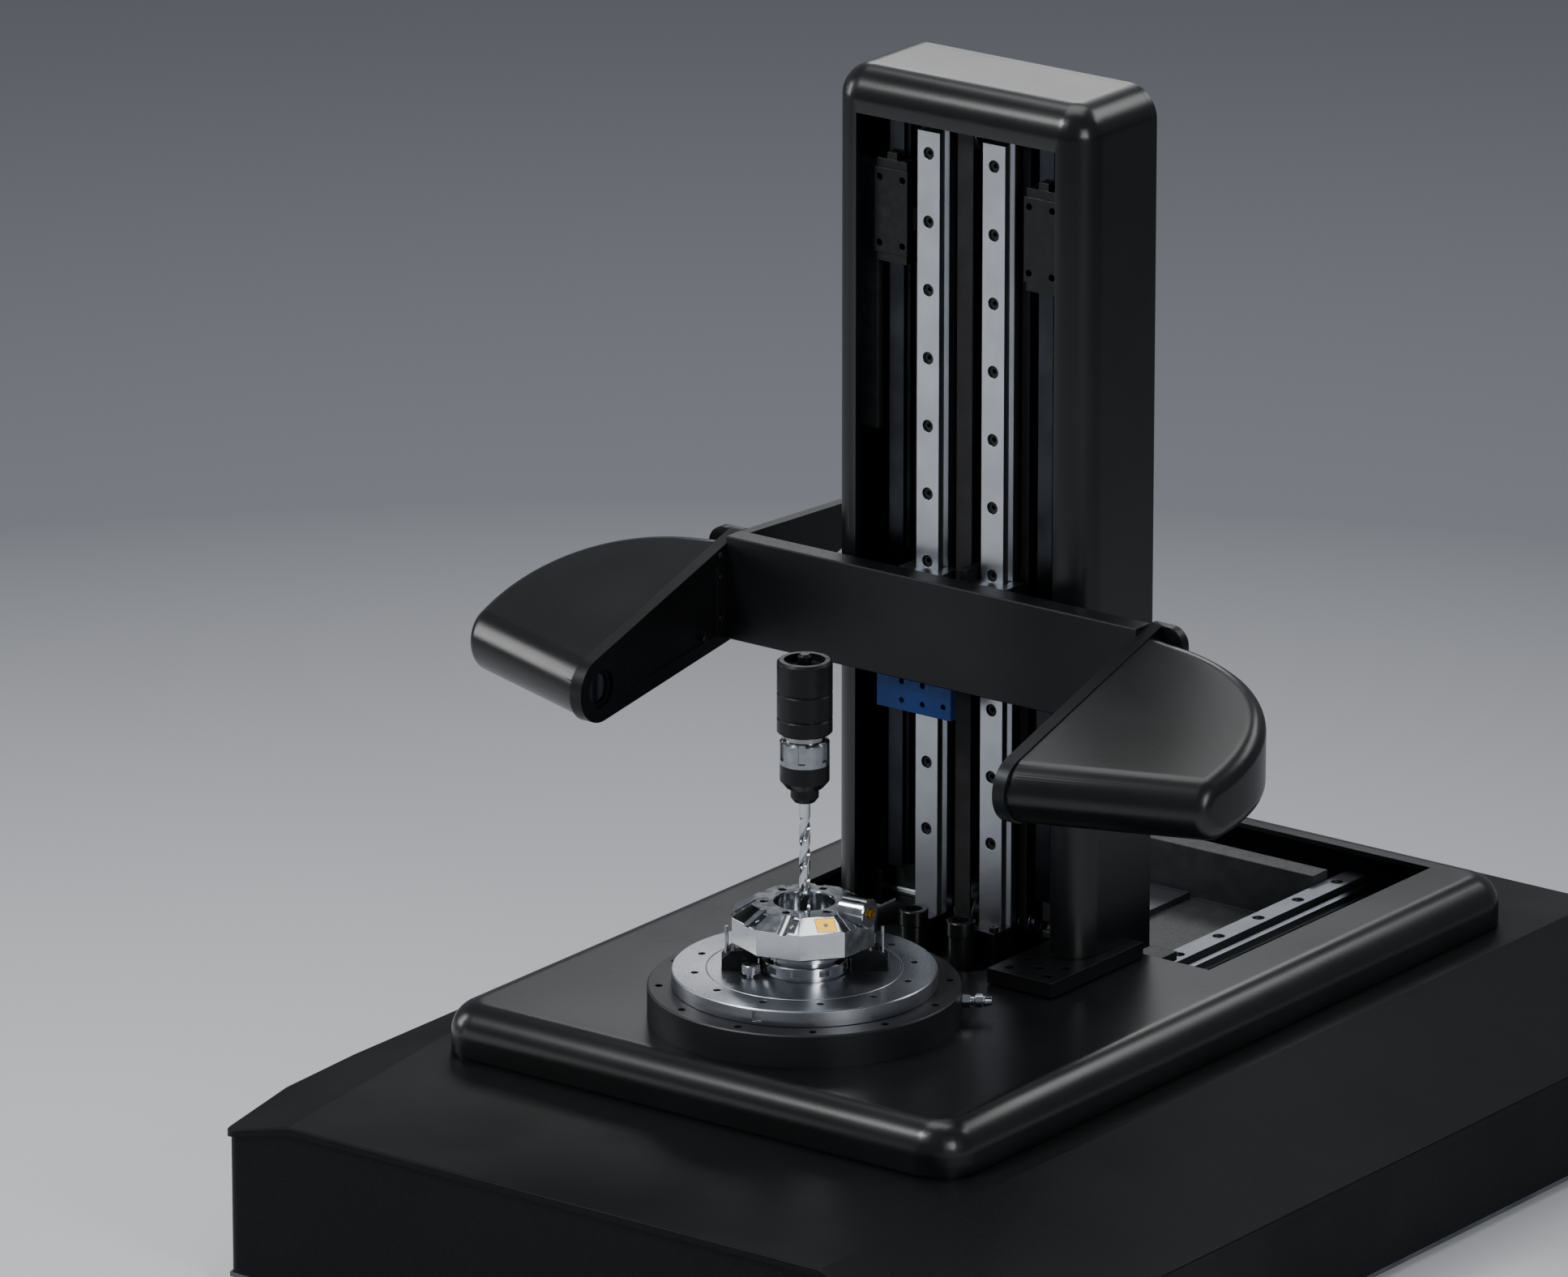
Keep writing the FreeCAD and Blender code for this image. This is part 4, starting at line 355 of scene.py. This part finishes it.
def rubber(name, colour, roughness):
    """Moulded black rubber: matt, with a faint bloom and a fine pitted skin."""
    material, tree, shader, place, eased = finish(name, colour, 0.0, roughness, 0.8)
    shader.inputs["Specular IOR Level"].default_value = 0.3
    pits = speckle(tree, place, 1.6, 3.0)
    bloom = speckle(tree, place, 20.0, 3.0)
    tint(tree, shader, bloom, colour, "#1C1C1E")
    polish(tree, shader, pits, roughness - 0.08, roughness + 0.08)
    emboss(tree, shader, pits, eased, 0.08, 0.4)
    return material


def coated_lens():
    """Multi-coated optical glass over a dark barrel: nearly black, with a clear violet-blue reflection from its coat,
    and a violet painted reflection in its base colour towards grazing view.
    """
    material, tree, shader, place, eased = finish("coated_optical_glass", "#040406", 0.0, 0.06, 0.3)
    # Painted reflection: the base colour turns violet where the surface is seen at a grazing angle
    ring = add(tree, "ShaderNodeLayerWeight", {"Blend": 0.35}).outputs["Facing"]
    tint(tree, shader, ring, "#050507", "#0D0B16", 0.0, 1.0)
    shader.inputs["IOR"].default_value = 1.52
    shader.inputs["Coat Weight"].default_value = 0.4
    shader.inputs["Coat Tint"].default_value = linear("#B9C0E8")
    return material


def etched_scale():
    """Steel measuring scale: a fine ground face with etched dark divisions. The real ones are 0.02 mm apart and
    are drawn 2 mm apart so that they show."""
    material, tree, shader, place, eased = finish("etched_steel_scale", "#8C9096", 1.0, 0.34, 0.2)
    marks = waves(tree, place, 2.0).outputs["Fac"]
    tint(tree, shader, marks, "#2B2D30", "#9DA1A7", 0.15, 0.35)
    return material


def glossy_plastic(name, colour, glow, roughness):
    """Injection-moulded glass-filled nylon: near-black, with a fine spark-eroded grain from its mould."""
    material, tree, shader, place, eased = finish(name, colour, 0.0, roughness, 0.5)
    grain = speckle(tree, place, 1.0, 2.0)
    tint(tree, shader, speckle(tree, place, 25.0), colour, glow)
    polish(tree, shader, grain, roughness - 0.05, roughness + 0.05)
    emboss(tree, shader, grain, eased, 0.02, 0.5)
    return material


def laminations():
    """Stacked motor laminations: thin punched iron sheets, seen as fine level lines. The real ones are 0.5 mm thick
    and are drawn 1.5 mm apart so that they show."""
    material, tree, shader, place, eased = finish("laminated_motor_iron", "#4C4E52", 0.9, 0.45)
    sheets = waves(tree, place, 1.5).outputs["Fac"]
    tint(tree, shader, sheets, "#3A3C40", "#5E6066", 0.0, 1.0)
    emboss(tree, shader, sheets, eased, 0.05, 0.6)
    return material


FINISHES = {
    "powder": powder_coat("black_powder_coat", "#090A0B", "#131416", 0.46),
    "satin": satin_paint(),
    "anodised": anodised("black_anodised_aluminium", "#131416", "#1A1B1E", 0.38),
    "blue": anodised("blue_anodised_aluminium", "#0C2857", "#11356F", 0.40),
    "z_rail": ground_steel("ground_rail_steel_upright", "#A8ACB3", "#B3B7BE", 0.34, (1.0, 1.0, 60.0)),
    # The level rails are the same ground steel as the upright ones, painted darker: painted shade of the opening they
    # lie in
    "y_rail": ground_steel("ground_rail_steel_level_shaded", "#7E8289", "#8A8E95", 0.38, (1.0, 60.0, 1.0)),
    "dark_rail": ground_steel("black_chromed_rail_steel", "#25272B", "#33363B", 0.32, (1.0, 1.0, 60.0)),
    "bright_steel": ground_steel("ground_tool_steel", "#9FA3A9", "#B9BDC3", 0.28, (1.0, 1.0, 1.0)),
    "turned": turned_metal("turned_stainless_steel", "#A9ACB2", "#B3B6BC", 1.0, 0.28, 1.6, 0.008),
    "turned_black": turned_metal("turned_black_anodised_aluminium", "#1B1C1E", "#222326", 0.35, 0.38, 2.0, 0.008),
    "cutter": polished_steel("polished_nickel_plate", "#B6B9BD", "#C4C7CB", 0.10, 0.17),
    "collar": polished_steel("satin_nickel_plate", "#85888D", "#9A9DA2", 0.18, 0.26),
    "zinc": polished_steel("zinc_plated_screw_steel", "#A6A9AE", "#B9BCC1", 0.22, 0.34),
    "scale": etched_scale(),
    "nylon": glossy_plastic("moulded_black_nylon", "#0C0D0E", "#121315", 0.30),
    "oxide": black_oxide(),
    # The bed's own enamel is light grey; it is painted dark grey here as painted shade of the deep opening it lies in
    "bed": cast_enamel("grey_machine_enamel_painted_dark", "#26282B", "#303236", 0.48),
    "dark_cast": cast_enamel("black_machine_enamel", "#141517", "#1C1D20", 0.5),
    "plate": ground_steel("rolled_steel_plate", "#5D6066", "#73767C", 0.42, (1.0, 30.0, 1.0)),
    "gold": nitride_gold(),
    "carbide": carbide(),
    "rubber": rubber("moulded_black_rubber", "#0F0F10", 0.72),
    "belt": rubber("toothed_belt_neoprene", "#111112", 0.6),
    "lens": coated_lens(),
    "motor": laminations(),
}

WORN_BY = {
    "powder": ["deck_cover", "base_skirt", "rear_inlet"],
    "satin": ["plinth_cover", "column_cover", "column_back_cover", "lamp_arm_cover", "camera_arm_cover"],
    "anodised": ["cross_beam", "cable_bracket", "lamp_arm_plate", "camera_arm_plate", "foot_plate", "camera_and_lamp",
                 "belt_clamp", "read_head", "motor_coil"],
    "turned_black": ["table_ring"],
    "blue": ["drive_plate"],
    "z_rail": ["z_rails"],
    "y_rail": ["base_rails"],
    "dark_rail": ["side_rails"],
    "bright_steel": ["spindle_shaft", "spindle_bearing", "head_shaft", "foot_shaft", "twist_drill", "saddle_blocks",
                     "carriage_blocks"],
    "scale": ["z_scale"],
    "turned": ["table_disc"],
    "cutter": ["face_mill", "arbor", "arbor_screw", "air_nipple", "mill_cartridge"],
    "collar": ["chuck_nut"],
    "zinc": ["clamp_bolts"],
    "oxide": ["chuck_body", "collet_nut", "hold_down_clamps", "rail_foot_blocks", "weight_runners", "z_motor",
              "base_rail_screws", "ring_screws", "z_rail_screws"],
    "bed": ["machine_bed"],
    "dark_cast": ["column_frame", "column_saddle", "weight_bars"],
    "plate": ["bottom_plate"],
    "carbide": ["mill_inserts"],
    "rubber": ["levelling_feet"],
    "nylon": ["buffers"],
    "belt": ["drive_belt", "weight_belts"],
    "lens": ["lenses"],
    "motor": ["spindle_motor", "magnet_track"],
}


def dress_solids():
    """Gives every solid its finish."""
    for key, nodes in WORN_BY.items():
        for node in nodes:
            for held in frame["nodes"][node].material_slots:
                held.material = FINISHES[key]


# Copies of solids whose curves need clean shading

SMOOTHED = ["deck_cover", "plinth_cover", "column_cover", "column_back_cover", "lamp_arm_plate",
            "camera_arm_plate", "table_ring", "table_disc", "face_mill", "arbor", "chuck_body",
            "chuck_nut", "collet_nut", "clamp_bolts", "buffers", "air_nipple", "levelling_feet",
            "head_shaft", "foot_shaft", "machine_bed", "cross_beam"]

SHALLOW_FOLDS = {"deck_cover": 12.0}      # degrees: creases in sheet that fold by less than the others' edges

COVER_WALL = 3.0      # millimetres


def new_piece(name, mesh):
    """Object with a mesh, in the scene."""
    piece = bpy.data.objects.new(name, mesh)
    scene.collection.objects.link(piece)
    return piece


def settled(piece):
    """Applies a piece's modifiers to its mesh."""
    bpy.context.view_layer.update()
    shape = piece.evaluated_get(bpy.context.evaluated_depsgraph_get())
    mesh = bpy.data.meshes.new_from_object(shape)
    piece.modifiers.clear()
    piece.data = mesh


def weigh_normals(piece):
    """Lets the larger faces set the normals, then applies the piece's modifiers."""
    weighted = piece.modifiers.new("weighted", "WEIGHTED_NORMAL")
    weighted.keep_sharp = True
    settled(piece)


def merged(node):
    """Working copy of a solid's mesh, its triangles joined into faces."""
    work = bmesh.new()
    work.from_mesh(frame["nodes"][node].data)
    bmesh.ops.remove_doubles(work, verts=work.verts, dist=WELD)
    bmesh.ops.dissolve_limit(work, angle_limit=LEVEL, verts=work.verts, edges=work.edges)
    return work


def shade(work, fold=FOLD):
    """Smooth shading, but for the edges that fold by more than an angle in degrees."""
    for face in work.faces:
        face.smooth = True
    for edge in work.edges:
        edge.smooth = edge.calc_face_angle(0.0) < math.radians(fold)


def smoothed(node):
    """Copy of a solid with its triangles joined into faces and its curves shaded smooth, in the solid's place."""
    source = frame["nodes"][node]
    work = merged(node)
    shade(work, SHALLOW_FOLDS.get(node, FOLD))
    mesh = bpy.data.meshes.new(node + "_smooth")
    work.to_mesh(mesh)
    work.free()
    if "custom_normal" in mesh.attributes:
        mesh.attributes.remove(mesh.attributes["custom_normal"])
    mesh.materials.clear()
    mesh.materials.append(source.material_slots[0].material)
    piece = new_piece(node + "_smooth", mesh)
    weigh_normals(piece)
    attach(piece, source["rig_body"])
    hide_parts(node)


def even_shell(node, open_way):
    """Rounded cover as one even wall. Its outer skin is the hull of the solid's, which has no hollows, and it stays
    open on the side that lies against its plate."""
    source = frame["nodes"][node]
    skin = bmesh.new()
    for vert in source.data.vertices:
        skin.verts.new(vert.co)
    bmesh.ops.remove_doubles(skin, verts=skin.verts, dist=WELD)
    wrapped = bmesh.ops.convex_hull(skin, input=skin.verts)
    inside = {v for v in wrapped["geom_interior"] + wrapped["geom_unused"] if isinstance(v, bmesh.types.BMVert)}
    bmesh.ops.delete(skin, geom=list(inside), context="VERTS")
    bmesh.ops.dissolve_limit(skin, angle_limit=LEVEL, verts=skin.verts, edges=skin.edges)
    bmesh.ops.recalc_face_normals(skin, faces=skin.faces)
    bmesh.ops.delete(skin, geom=[f for f in skin.faces if f.normal.dot(open_way) > 0.999], context="FACES")
    shade(skin)
    mesh = bpy.data.meshes.new(node + "_shell")
    skin.to_mesh(mesh)
    skin.free()
    mesh.materials.append(source.material_slots[0].material)
    piece = new_piece(node + "_shell", mesh)
    wall = piece.modifiers.new("wall", "SOLIDIFY")
    wall.thickness, wall.offset, wall.use_even_offset = COVER_WALL * MM, -1.0, True
    weigh_normals(piece)
    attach(piece, source["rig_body"])
    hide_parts(node)


# Pieces grown by node trees: what repeats, and what follows a rule

FLOAT, WHOLE, POINT, SHAPE = "NodeSocketFloat", "NodeSocketInt", "NodeSocketVector", "NodeSocketGeometry"

GROWN_FOLD = 35.0      # degrees


def new_tree(name, sizes):
    """Empty geometry tree with a named input for each size, and the outputs that give them."""
    tree = bpy.data.node_groups.new(name, "GeometryNodeTree")
    tree.interface.new_socket("Geometry", in_out="INPUT", socket_type=SHAPE)
    for label, kind in sizes.items():
        tree.interface.new_socket(label, in_out="INPUT", socket_type=kind)
    tree.interface.new_socket("Geometry", in_out="OUTPUT", socket_type=SHAPE)
    return tree, add(tree, "NodeGroupInput").outputs


def close_tree(tree, shape, material):
    """Ends a tree: instances made real, and one material over them."""
    real = add(tree, "GeometryNodeRealizeInstances", {"Geometry": shape})
    dressed = add(tree, "GeometryNodeSetMaterial", {"Geometry": real.outputs[0], "Material": material})
    add(tree, "NodeGroupOutput", {0: dressed.outputs[0]})
    return tree


def grown(name, tree, sizes, body, seeds=(), facing=()):
    """Plain mesh piece grown by a tree, from seed points that each face a way, riding on a body."""
    mesh = bpy.data.meshes.new(name)
    mesh.from_pydata([tuple(p) for p in seeds], [], [])
    if facing:
        ways = mesh.attributes.new("facing", "FLOAT_VECTOR", "POINT")
        ways.data.foreach_set("vector", [c for way in facing for c in way])
    piece = new_piece(name, mesh)
    modifier = piece.modifiers.new("grow", "NODES")
    modifier.node_group = tree
    for item in tree.interface.items_tree:
        if item.in_out == "INPUT" and item.name in sizes:
            modifier[item.identifier] = sizes[item.name]
    settled(piece)
    work = bmesh.new()
    work.from_mesh(piece.data)
    shade(work, GROWN_FOLD)
    work.to_mesh(piece.data)
    work.free()
    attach(piece, body)
    return piece


def drill_tree(material):
    """Two-flute drill: a fluted section that turns as it climbs, narrowed to a point at its foot, and its shank."""
    tree, size = new_tree("fluted_drill", {"Foot": POINT, "Top": POINT, "Shank": POINT, "Radius": FLOAT,
                                           "Turns": FLOAT, "Point": FLOAT, "Web": FLOAT, "Rings": WHOLE})
    line = add(tree, "GeometryNodeCurvePrimitiveLine", {"Start": size["Foot"], "End": size["Top"]})
    path = add(tree, "GeometryNodeResampleCurve", {"Curve": line.outputs[0], "Count": size["Rings"]})
    share = add(tree, "GeometryNodeSplineParameter").outputs["Factor"]
    turn = add(tree, "ShaderNodeMath", {0: share, 1: size["Turns"]}, operation="MULTIPLY")
    angle = add(tree, "ShaderNodeMath", {0: turn.outputs[0], 1: 2 * math.pi}, operation="MULTIPLY")
    tilted = add(tree, "GeometryNodeSetCurveTilt", {"Curve": path.outputs[0], "Tilt": angle.outputs[0]})
    taper = add(tree, "ShaderNodeMapRange", {"Value": share, "From Max": size["Point"], "To Min": 0.05})
    narrowed = add(tree, "GeometryNodeSetCurveRadius", {"Curve": tilted.outputs[0], "Radius": taper.outputs[0]})
    ring = add(tree, "GeometryNodeCurvePrimitiveCircle", {"Resolution": 48, "Radius": size["Radius"]})
    place = add(tree, "GeometryNodeInputPosition").outputs[0]
    parts = add(tree, "ShaderNodeSeparateXYZ", {0: place})
    around = add(tree, "ShaderNodeMath", {0: parts.outputs[1], 1: parts.outputs[0]}, operation="ARCTAN2")
    twice = add(tree, "ShaderNodeMath", {0: around.outputs[0], 1: 2.0}, operation="MULTIPLY")
    wave = add(tree, "ShaderNodeMath", {0: twice.outputs[0]}, operation="COSINE")
    flute = add(tree, "ShaderNodeMath", {0: wave.outputs[0], 1: 0.0}, operation="MAXIMUM")
    depth = add(tree, "ShaderNodeMath", {0: flute.outputs[0], 1: 0.55}, operation="POWER")
    cut = add(tree, "ShaderNodeMapRange", {"Value": depth.outputs[0], "To Min": 1.0, "To Max": size["Web"]})
    drawn_in = add(tree, "ShaderNodeVectorMath", {0: place, "Scale": cut.outputs[0]}, operation="SCALE")
    section = add(tree, "GeometryNodeSetPosition", {"Geometry": ring.outputs[0], "Position": drawn_in.outputs[0]})
    body = add(tree, "GeometryNodeCurveToMesh", {"Curve": narrowed.outputs[0], "Profile Curve": section.outputs[0],
                                                 "Fill Caps": True})
    rest = add(tree, "GeometryNodeCurvePrimitiveLine", {"Start": size["Top"], "End": size["Shank"]})
    shank = add(tree, "GeometryNodeCurveToMesh", {"Curve": rest.outputs[0], "Profile Curve": ring.outputs[0],
                                                  "Fill Caps": True})
    whole = add(tree, "GeometryNodeJoinGeometry", {0: body.outputs[0]})
    tree.links.new(shank.outputs[0], whole.inputs[0])
    return close_tree(tree, whole.outputs[0], material)


def screw_tree(material):
    """Socket screw heads on seed points, each turned to its own facing: a chamfered disc with a sunk socket."""
    tree, size = new_tree("socket_screws", {"Radius": FLOAT, "Height": FLOAT, "Crown": FLOAT, "Socket": FLOAT,
                                            "Depth": FLOAT, "Sides": WHOLE})
    disc = add(tree, "GeometryNodeMeshCylinder", {"Vertices": size["Sides"], "Radius": size["Radius"],
                                                  "Depth": size["Height"]})
    half = add(tree, "ShaderNodeMath", {0: size["Height"], 1: 0.5}, operation="MULTIPLY")
    lift = add(tree, "ShaderNodeCombineXYZ", {2: half.outputs[0]})
    seated = add(tree, "GeometryNodeTransform", {"Geometry": disc.outputs["Mesh"], "Translation": lift.outputs[0]})
    crown = add(tree, "GeometryNodeExtrudeMesh", {"Mesh": seated.outputs[0], "Selection": disc.outputs["Top"],
                                                  "Offset Scale": size["Crown"]})
    crowned = add(tree, "GeometryNodeScaleElements", {"Geometry": crown.outputs["Mesh"],
                                                      "Selection": crown.outputs["Top"], "Scale": 0.78})
    rim = add(tree, "GeometryNodeExtrudeMesh", {"Mesh": crowned.outputs[0], "Selection": crown.outputs["Top"],
                                                "Offset Scale": 0.0})
    mouth = add(tree, "GeometryNodeScaleElements", {"Geometry": rim.outputs["Mesh"], "Selection": rim.outputs["Top"],
                                                    "Scale": size["Socket"]})
    sunk = add(tree, "ShaderNodeMath", {0: size["Depth"], 1: -1.0}, operation="MULTIPLY")
    hole = add(tree, "GeometryNodeExtrudeMesh", {"Mesh": mouth.outputs[0], "Selection": rim.outputs["Top"],
                                                 "Offset Scale": sunk.outputs[0]})
    way = add(tree, "GeometryNodeInputNamedAttribute", {"Name": "facing"}, data_type="FLOAT_VECTOR")
    turned = add(tree, "FunctionNodeAlignRotationToVector", {"Vector": way.outputs[0]}, axis="Z")
    heads = add(tree, "GeometryNodeInstanceOnPoints", {"Points": size["Geometry"], "Instance": hole.outputs["Mesh"],
                                                       "Rotation": turned.outputs[0]})
    return close_tree(tree, heads.outputs[0], material)


def knurl_tree(material):
    """Ring of upright ridges round each seed point."""
    tree, size = new_tree("knurled_ring", {"Radius": FLOAT, "Count": WHOLE, "Ridge": POINT})
    circle = add(tree, "GeometryNodeMeshCircle", {"Vertices": size["Count"], "Radius": size["Radius"]})
    way = add(tree, "GeometryNodeInputPosition").outputs[0]
    turned = add(tree, "FunctionNodeAlignRotationToVector", {"Vector": way}, axis="X", pivot_axis="Z")
    ridge = add(tree, "GeometryNodeMeshCube", {"Size": size["Ridge"]})
    ridges = add(tree, "GeometryNodeInstanceOnPoints", {"Points": circle.outputs[0], "Instance": ridge.outputs[0],
                                                        "Rotation": turned.outputs[0]})
    rings = add(tree, "GeometryNodeInstanceOnPoints", {"Points": size["Geometry"], "Instance": ridges.outputs[0]})
    return close_tree(tree, rings.outputs[0], material)


def louvre_tree(material):
    """Column of pressed louvres on each seed point: long low humps, a pitch apart."""
    tree, size = new_tree("pressed_louvres", {"Count": WHOLE, "Pitch": FLOAT, "Hump": POINT})
    step = add(tree, "ShaderNodeCombineXYZ", {2: size["Pitch"]})
    line = add(tree, "GeometryNodeMeshLine", {"Count": size["Count"], "Offset": step.outputs[0]})
    ball = add(tree, "GeometryNodeMeshUVSphere", {"Segments": 24, "Rings": 12, "Radius": 1.0})
    hump = add(tree, "GeometryNodeTransform", {"Geometry": ball.outputs["Mesh"], "Scale": size["Hump"]})
    column = add(tree, "GeometryNodeInstanceOnPoints", {"Points": line.outputs[0], "Instance": hump.outputs[0]})
    columns = add(tree, "GeometryNodeInstanceOnPoints", {"Points": size["Geometry"], "Instance": column.outputs[0]})
    return close_tree(tree, columns.outputs[0], material)


def screws(name, tree, seats, facing, radius, body):
    """Socket screw heads of a radius on seats in millimetres, all facing one way."""
    sizes = {"Radius": radius * MM, "Height": 0.45 * radius * MM, "Crown": 0.25 * radius * MM, "Socket": 0.62,
             "Depth": 0.5 * radius * MM, "Sides": 24}
    grown(name, tree, sizes, body, [Vector(p) * MM for p in seats], [facing] * len(seats))


def loose_parts(node):
    """Each separate body of a solid as a merged mesh of its own."""
    whole = merged(node)
    whole.verts.index_update()
    group = {}
    for first in whole.verts:
        if first.index in group:
            continue
        mark, reach = len(set(group.values())), [first]
        while reach:
            vert = reach.pop()
            if vert.index not in group:
                group[vert.index] = mark
                reach.extend(edge.other_vert(vert) for edge in vert.link_edges)
    parts = []
    for mark in sorted(set(group.values())):
        part = whole.copy()
        part.verts.ensure_lookup_table()
        outside = [v for v in part.verts if group[v.index] != mark]
        bmesh.ops.delete(part, geom=outside, context="VERTS")
        parts.append(part)
    whole.free()
    return parts


def part_piece(name, parts, material, node):
    """One smooth-shaded piece from some of a node's separate bodies, in the node's place."""
    joined = bmesh.new()
    for part in parts:
        held = bpy.data.meshes.new("part")
        part.to_mesh(held)
        joined.from_mesh(held)
        bpy.data.meshes.remove(held)
    shade(joined)
    mesh = bpy.data.meshes.new(name)
    joined.to_mesh(mesh)
    joined.free()
    mesh.materials.append(material)
    piece = new_piece(name, mesh)
    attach(piece, frame["nodes"][node]["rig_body"])
    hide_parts(node)


def open_face(part):
    """The largest face of a small body that looks upwards and out."""
    return max((f for f in part.faces if f.normal.z > 0.4), key=lambda f: f.calc_area())


def insert_pieces():
    """The inserts: ground carbide ones, the broad gold wiper, and the small screw that holds each."""
    parts = loose_parts("mill_inserts")
    wiper = max(parts, key=lambda part: open_face(part).calc_area())
    others = [part for part in parts if part is not wiper]
    part_piece("carbide_inserts", others, FINISHES["carbide"], "mill_inserts")
    part_piece("gold_wiper_insert", [wiper], FINISHES["gold"], "mill_inserts")
    seats = [(open_face(part).calc_center_median() / MM, tuple(open_face(part).normal)) for part in parts]
    sizes = {"Radius": 1.8 * MM, "Height": 0.25 * MM, "Crown": 0.2 * MM, "Socket": 0.5, "Depth": 0.4 * MM,
             "Sides": 16}
    grown("insert_screws", screw_tree(FINISHES["zinc"]), sizes, "spindle",
          [seat * MM for seat, way in seats], [way for seat, way in seats])
    for part in parts:
        part.free()


def cartridge_pieces():
    """The setting cartridge: its polished barrel, and its gold screw."""
    barrel, screw = sorted(loose_parts("mill_cartridge"), key=lambda part: -part.calc_volume())
    part_piece("cartridge_barrel", [barrel], FINISHES["cutter"], "mill_cartridge")
    part_piece("cartridge_screw", [screw], FINISHES["gold"], "mill_cartridge")
    barrel.free()
    screw.free()


def lay_floor(level):
    """Grey floor at a level, with a painted pool of light that is palest in front of the machine and darkens away
    from it.
    A faint glow that only direct rays see keeps it from turning black far from the lamps."""
    mesh = bpy.data.meshes.new("floor")
    mesh.from_pydata([(x * FLOOR_REACH, y * FLOOR_REACH, level) for x, y in ((-1, -1), (1, -1), (1, 1), (-1, 1))],
                     [], [(0, 1, 2, 3)])
    material, tree, shader, place, eased = finish("matt_studio_floor", PALE_FLOOR, 0.0, 0.85)
    away = add(tree, "ShaderNodeVectorMath", {0: place, 1: (*LIGHT_POOL_SPOT, level)}, operation="DISTANCE")
    # Painted pool of light: the floor's colour runs from pale to dark with distance from one spot
    tint(tree, shader, away.outputs["Value"], PALE_FLOOR, DARK_FLOOR, PALE_REACH, DARK_REACH)
    tree.links.new(shader.inputs["Base Color"].links[0].from_socket, shader.inputs["Emission Color"])
    glow = add(tree, "ShaderNodeMath", {0: seen_directly(tree), 1: FLOOR_GLOW}, operation="MULTIPLY")
    tree.links.new(glow.outputs[0], shader.inputs["Emission Strength"])
    mesh.materials.append(material)
    new_piece("floor", mesh)


place_camera()
studio_world()
for lamp in LAMPS:
    softbox(*lamp)
lay_floor(cad_low.z)
dress_solids()
for node in SMOOTHED:
    smoothed(node)
even_shell("lamp_arm_cover", -X)
even_shell("camera_arm_cover", X)
insert_pieces()
cartridge_pieces()

# Drill: from the arbor screw's socket up to the collet nut's nose
DRILL_PITCH, DRILL_SHANK = 46.0 * MM, 14.0 * MM      # one turn of its flutes, and the plain part above them
drill_low, drill_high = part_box("twist_drill")
drill_foot, drill_end = Z * drill_low.z, Z * drill_high.z
drill_top = drill_end - Z * DRILL_SHANK
drill = grown("fluted_drill", drill_tree(FINISHES["cutter"]),
              {"Foot": drill_foot, "Top": drill_top, "Shank": drill_end, "Radius": drill_high.x,
               "Turns": (drill_top.z - drill_foot.z) / DRILL_PITCH, "Point": 0.03, "Web": 0.42, "Rings": 220},
              "drill_holder")
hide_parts("twist_drill")

# Screws and louvres: places in millimetres on the faces that carry them, and the radius of each kind of head
ARM_SCREW, BACK_SCREW, INLET_SCREW, BOTTOM_SCREW = 3.2, 4.2, 2.4, 3.4
ARM_FACE, ARM_SEATS = 215.0, [(166.0, 281.0), (166.0, 262.0), (166.0, 225.0), (143.0, 212.0)]
BACK_REACH, BACK_LOWEST, BACK_SPARE, BACK_ROWS = 118.0, 30.0, 75.0, 5      # either side of the middle, and its rows
INLET_EDGE, BOTTOM_EDGE = 5.0, 14.0                                       # in from each plate's edges
LOUVRE_REACH, LOUVRE_LOWEST = 48.0, 60.0

dark_screws, bright_screws = screw_tree(FINISHES["oxide"]), screw_tree(FINISHES["zinc"])
screws("left_arm_screws", dark_screws, [(-ARM_FACE, y, z) for y, z in ARM_SEATS], X, ARM_SCREW,
       "carriage")
screws("right_arm_screws", dark_screws, [(ARM_FACE, y, z) for y, z in ARM_SEATS], -X, ARM_SCREW,
       "carriage")

back_low, back_high = [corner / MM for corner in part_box("column_back_cover")]
row_gap = (back_high.z - back_low.z - BACK_SPARE) / (BACK_ROWS - 1)
back_rows = [back_low.z + BACK_LOWEST + i * row_gap for i in range(BACK_ROWS)]
screws("back_cover_screws", dark_screws, [(side * BACK_REACH, back_high.y, z) for z in back_rows for side in (-1, 1)],
       Y, BACK_SCREW, "column")
inlet_low, inlet_high = [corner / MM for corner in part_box("rear_inlet")]
screws("inlet_screws", bright_screws,
       [(x, inlet_high.y, z) for x in (inlet_low.x + INLET_EDGE, inlet_high.x - INLET_EDGE)
        for z in (inlet_low.z + INLET_EDGE, inlet_high.z - INLET_EDGE)], Y, INLET_SCREW, "base")
plate_low, plate_high = [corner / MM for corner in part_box("bottom_plate")]
screws("bottom_screws", bright_screws,
       [(x, y, plate_low.z) for x in (plate_low.x + BOTTOM_EDGE, plate_high.x - BOTTOM_EDGE)
        for y in (plate_low.y + 150.0, 0.0, 250.0, 500.0, plate_high.y - BOTTOM_EDGE)],
       -Z, BOTTOM_SCREW, "base")
grown("back_louvres", louvre_tree(FINISHES["satin"]),
      {"Count": 9, "Pitch": 15.0 * MM, "Hump": Vector((36.0, 3.6, 3.8)) * MM}, "column",
      [Vector((x, back_high.y, back_low.z + LOUVRE_LOWEST)) * MM for x in (-LOUVRE_REACH, LOUVRE_REACH)])

# Knurled heads of the two thumb screws: ridges a millimetre apart round each
THUMB_REACH, THUMB_HEIGHT, THUMB_ANGLES = 49.5, 6.2, (61.0, 241.0)
grown("thumb_knurls", knurl_tree(FINISHES["zinc"]),
      {"Radius": 7.5 * MM, "Count": 40, "Ridge": Vector((0.7, 0.6, 6.0)) * MM}, "spindle",
      [Vector((THUMB_REACH * math.cos(math.radians(angle)), THUMB_REACH * math.sin(math.radians(angle)),
               THUMB_HEIGHT)) * MM for angle in THUMB_ANGLES])
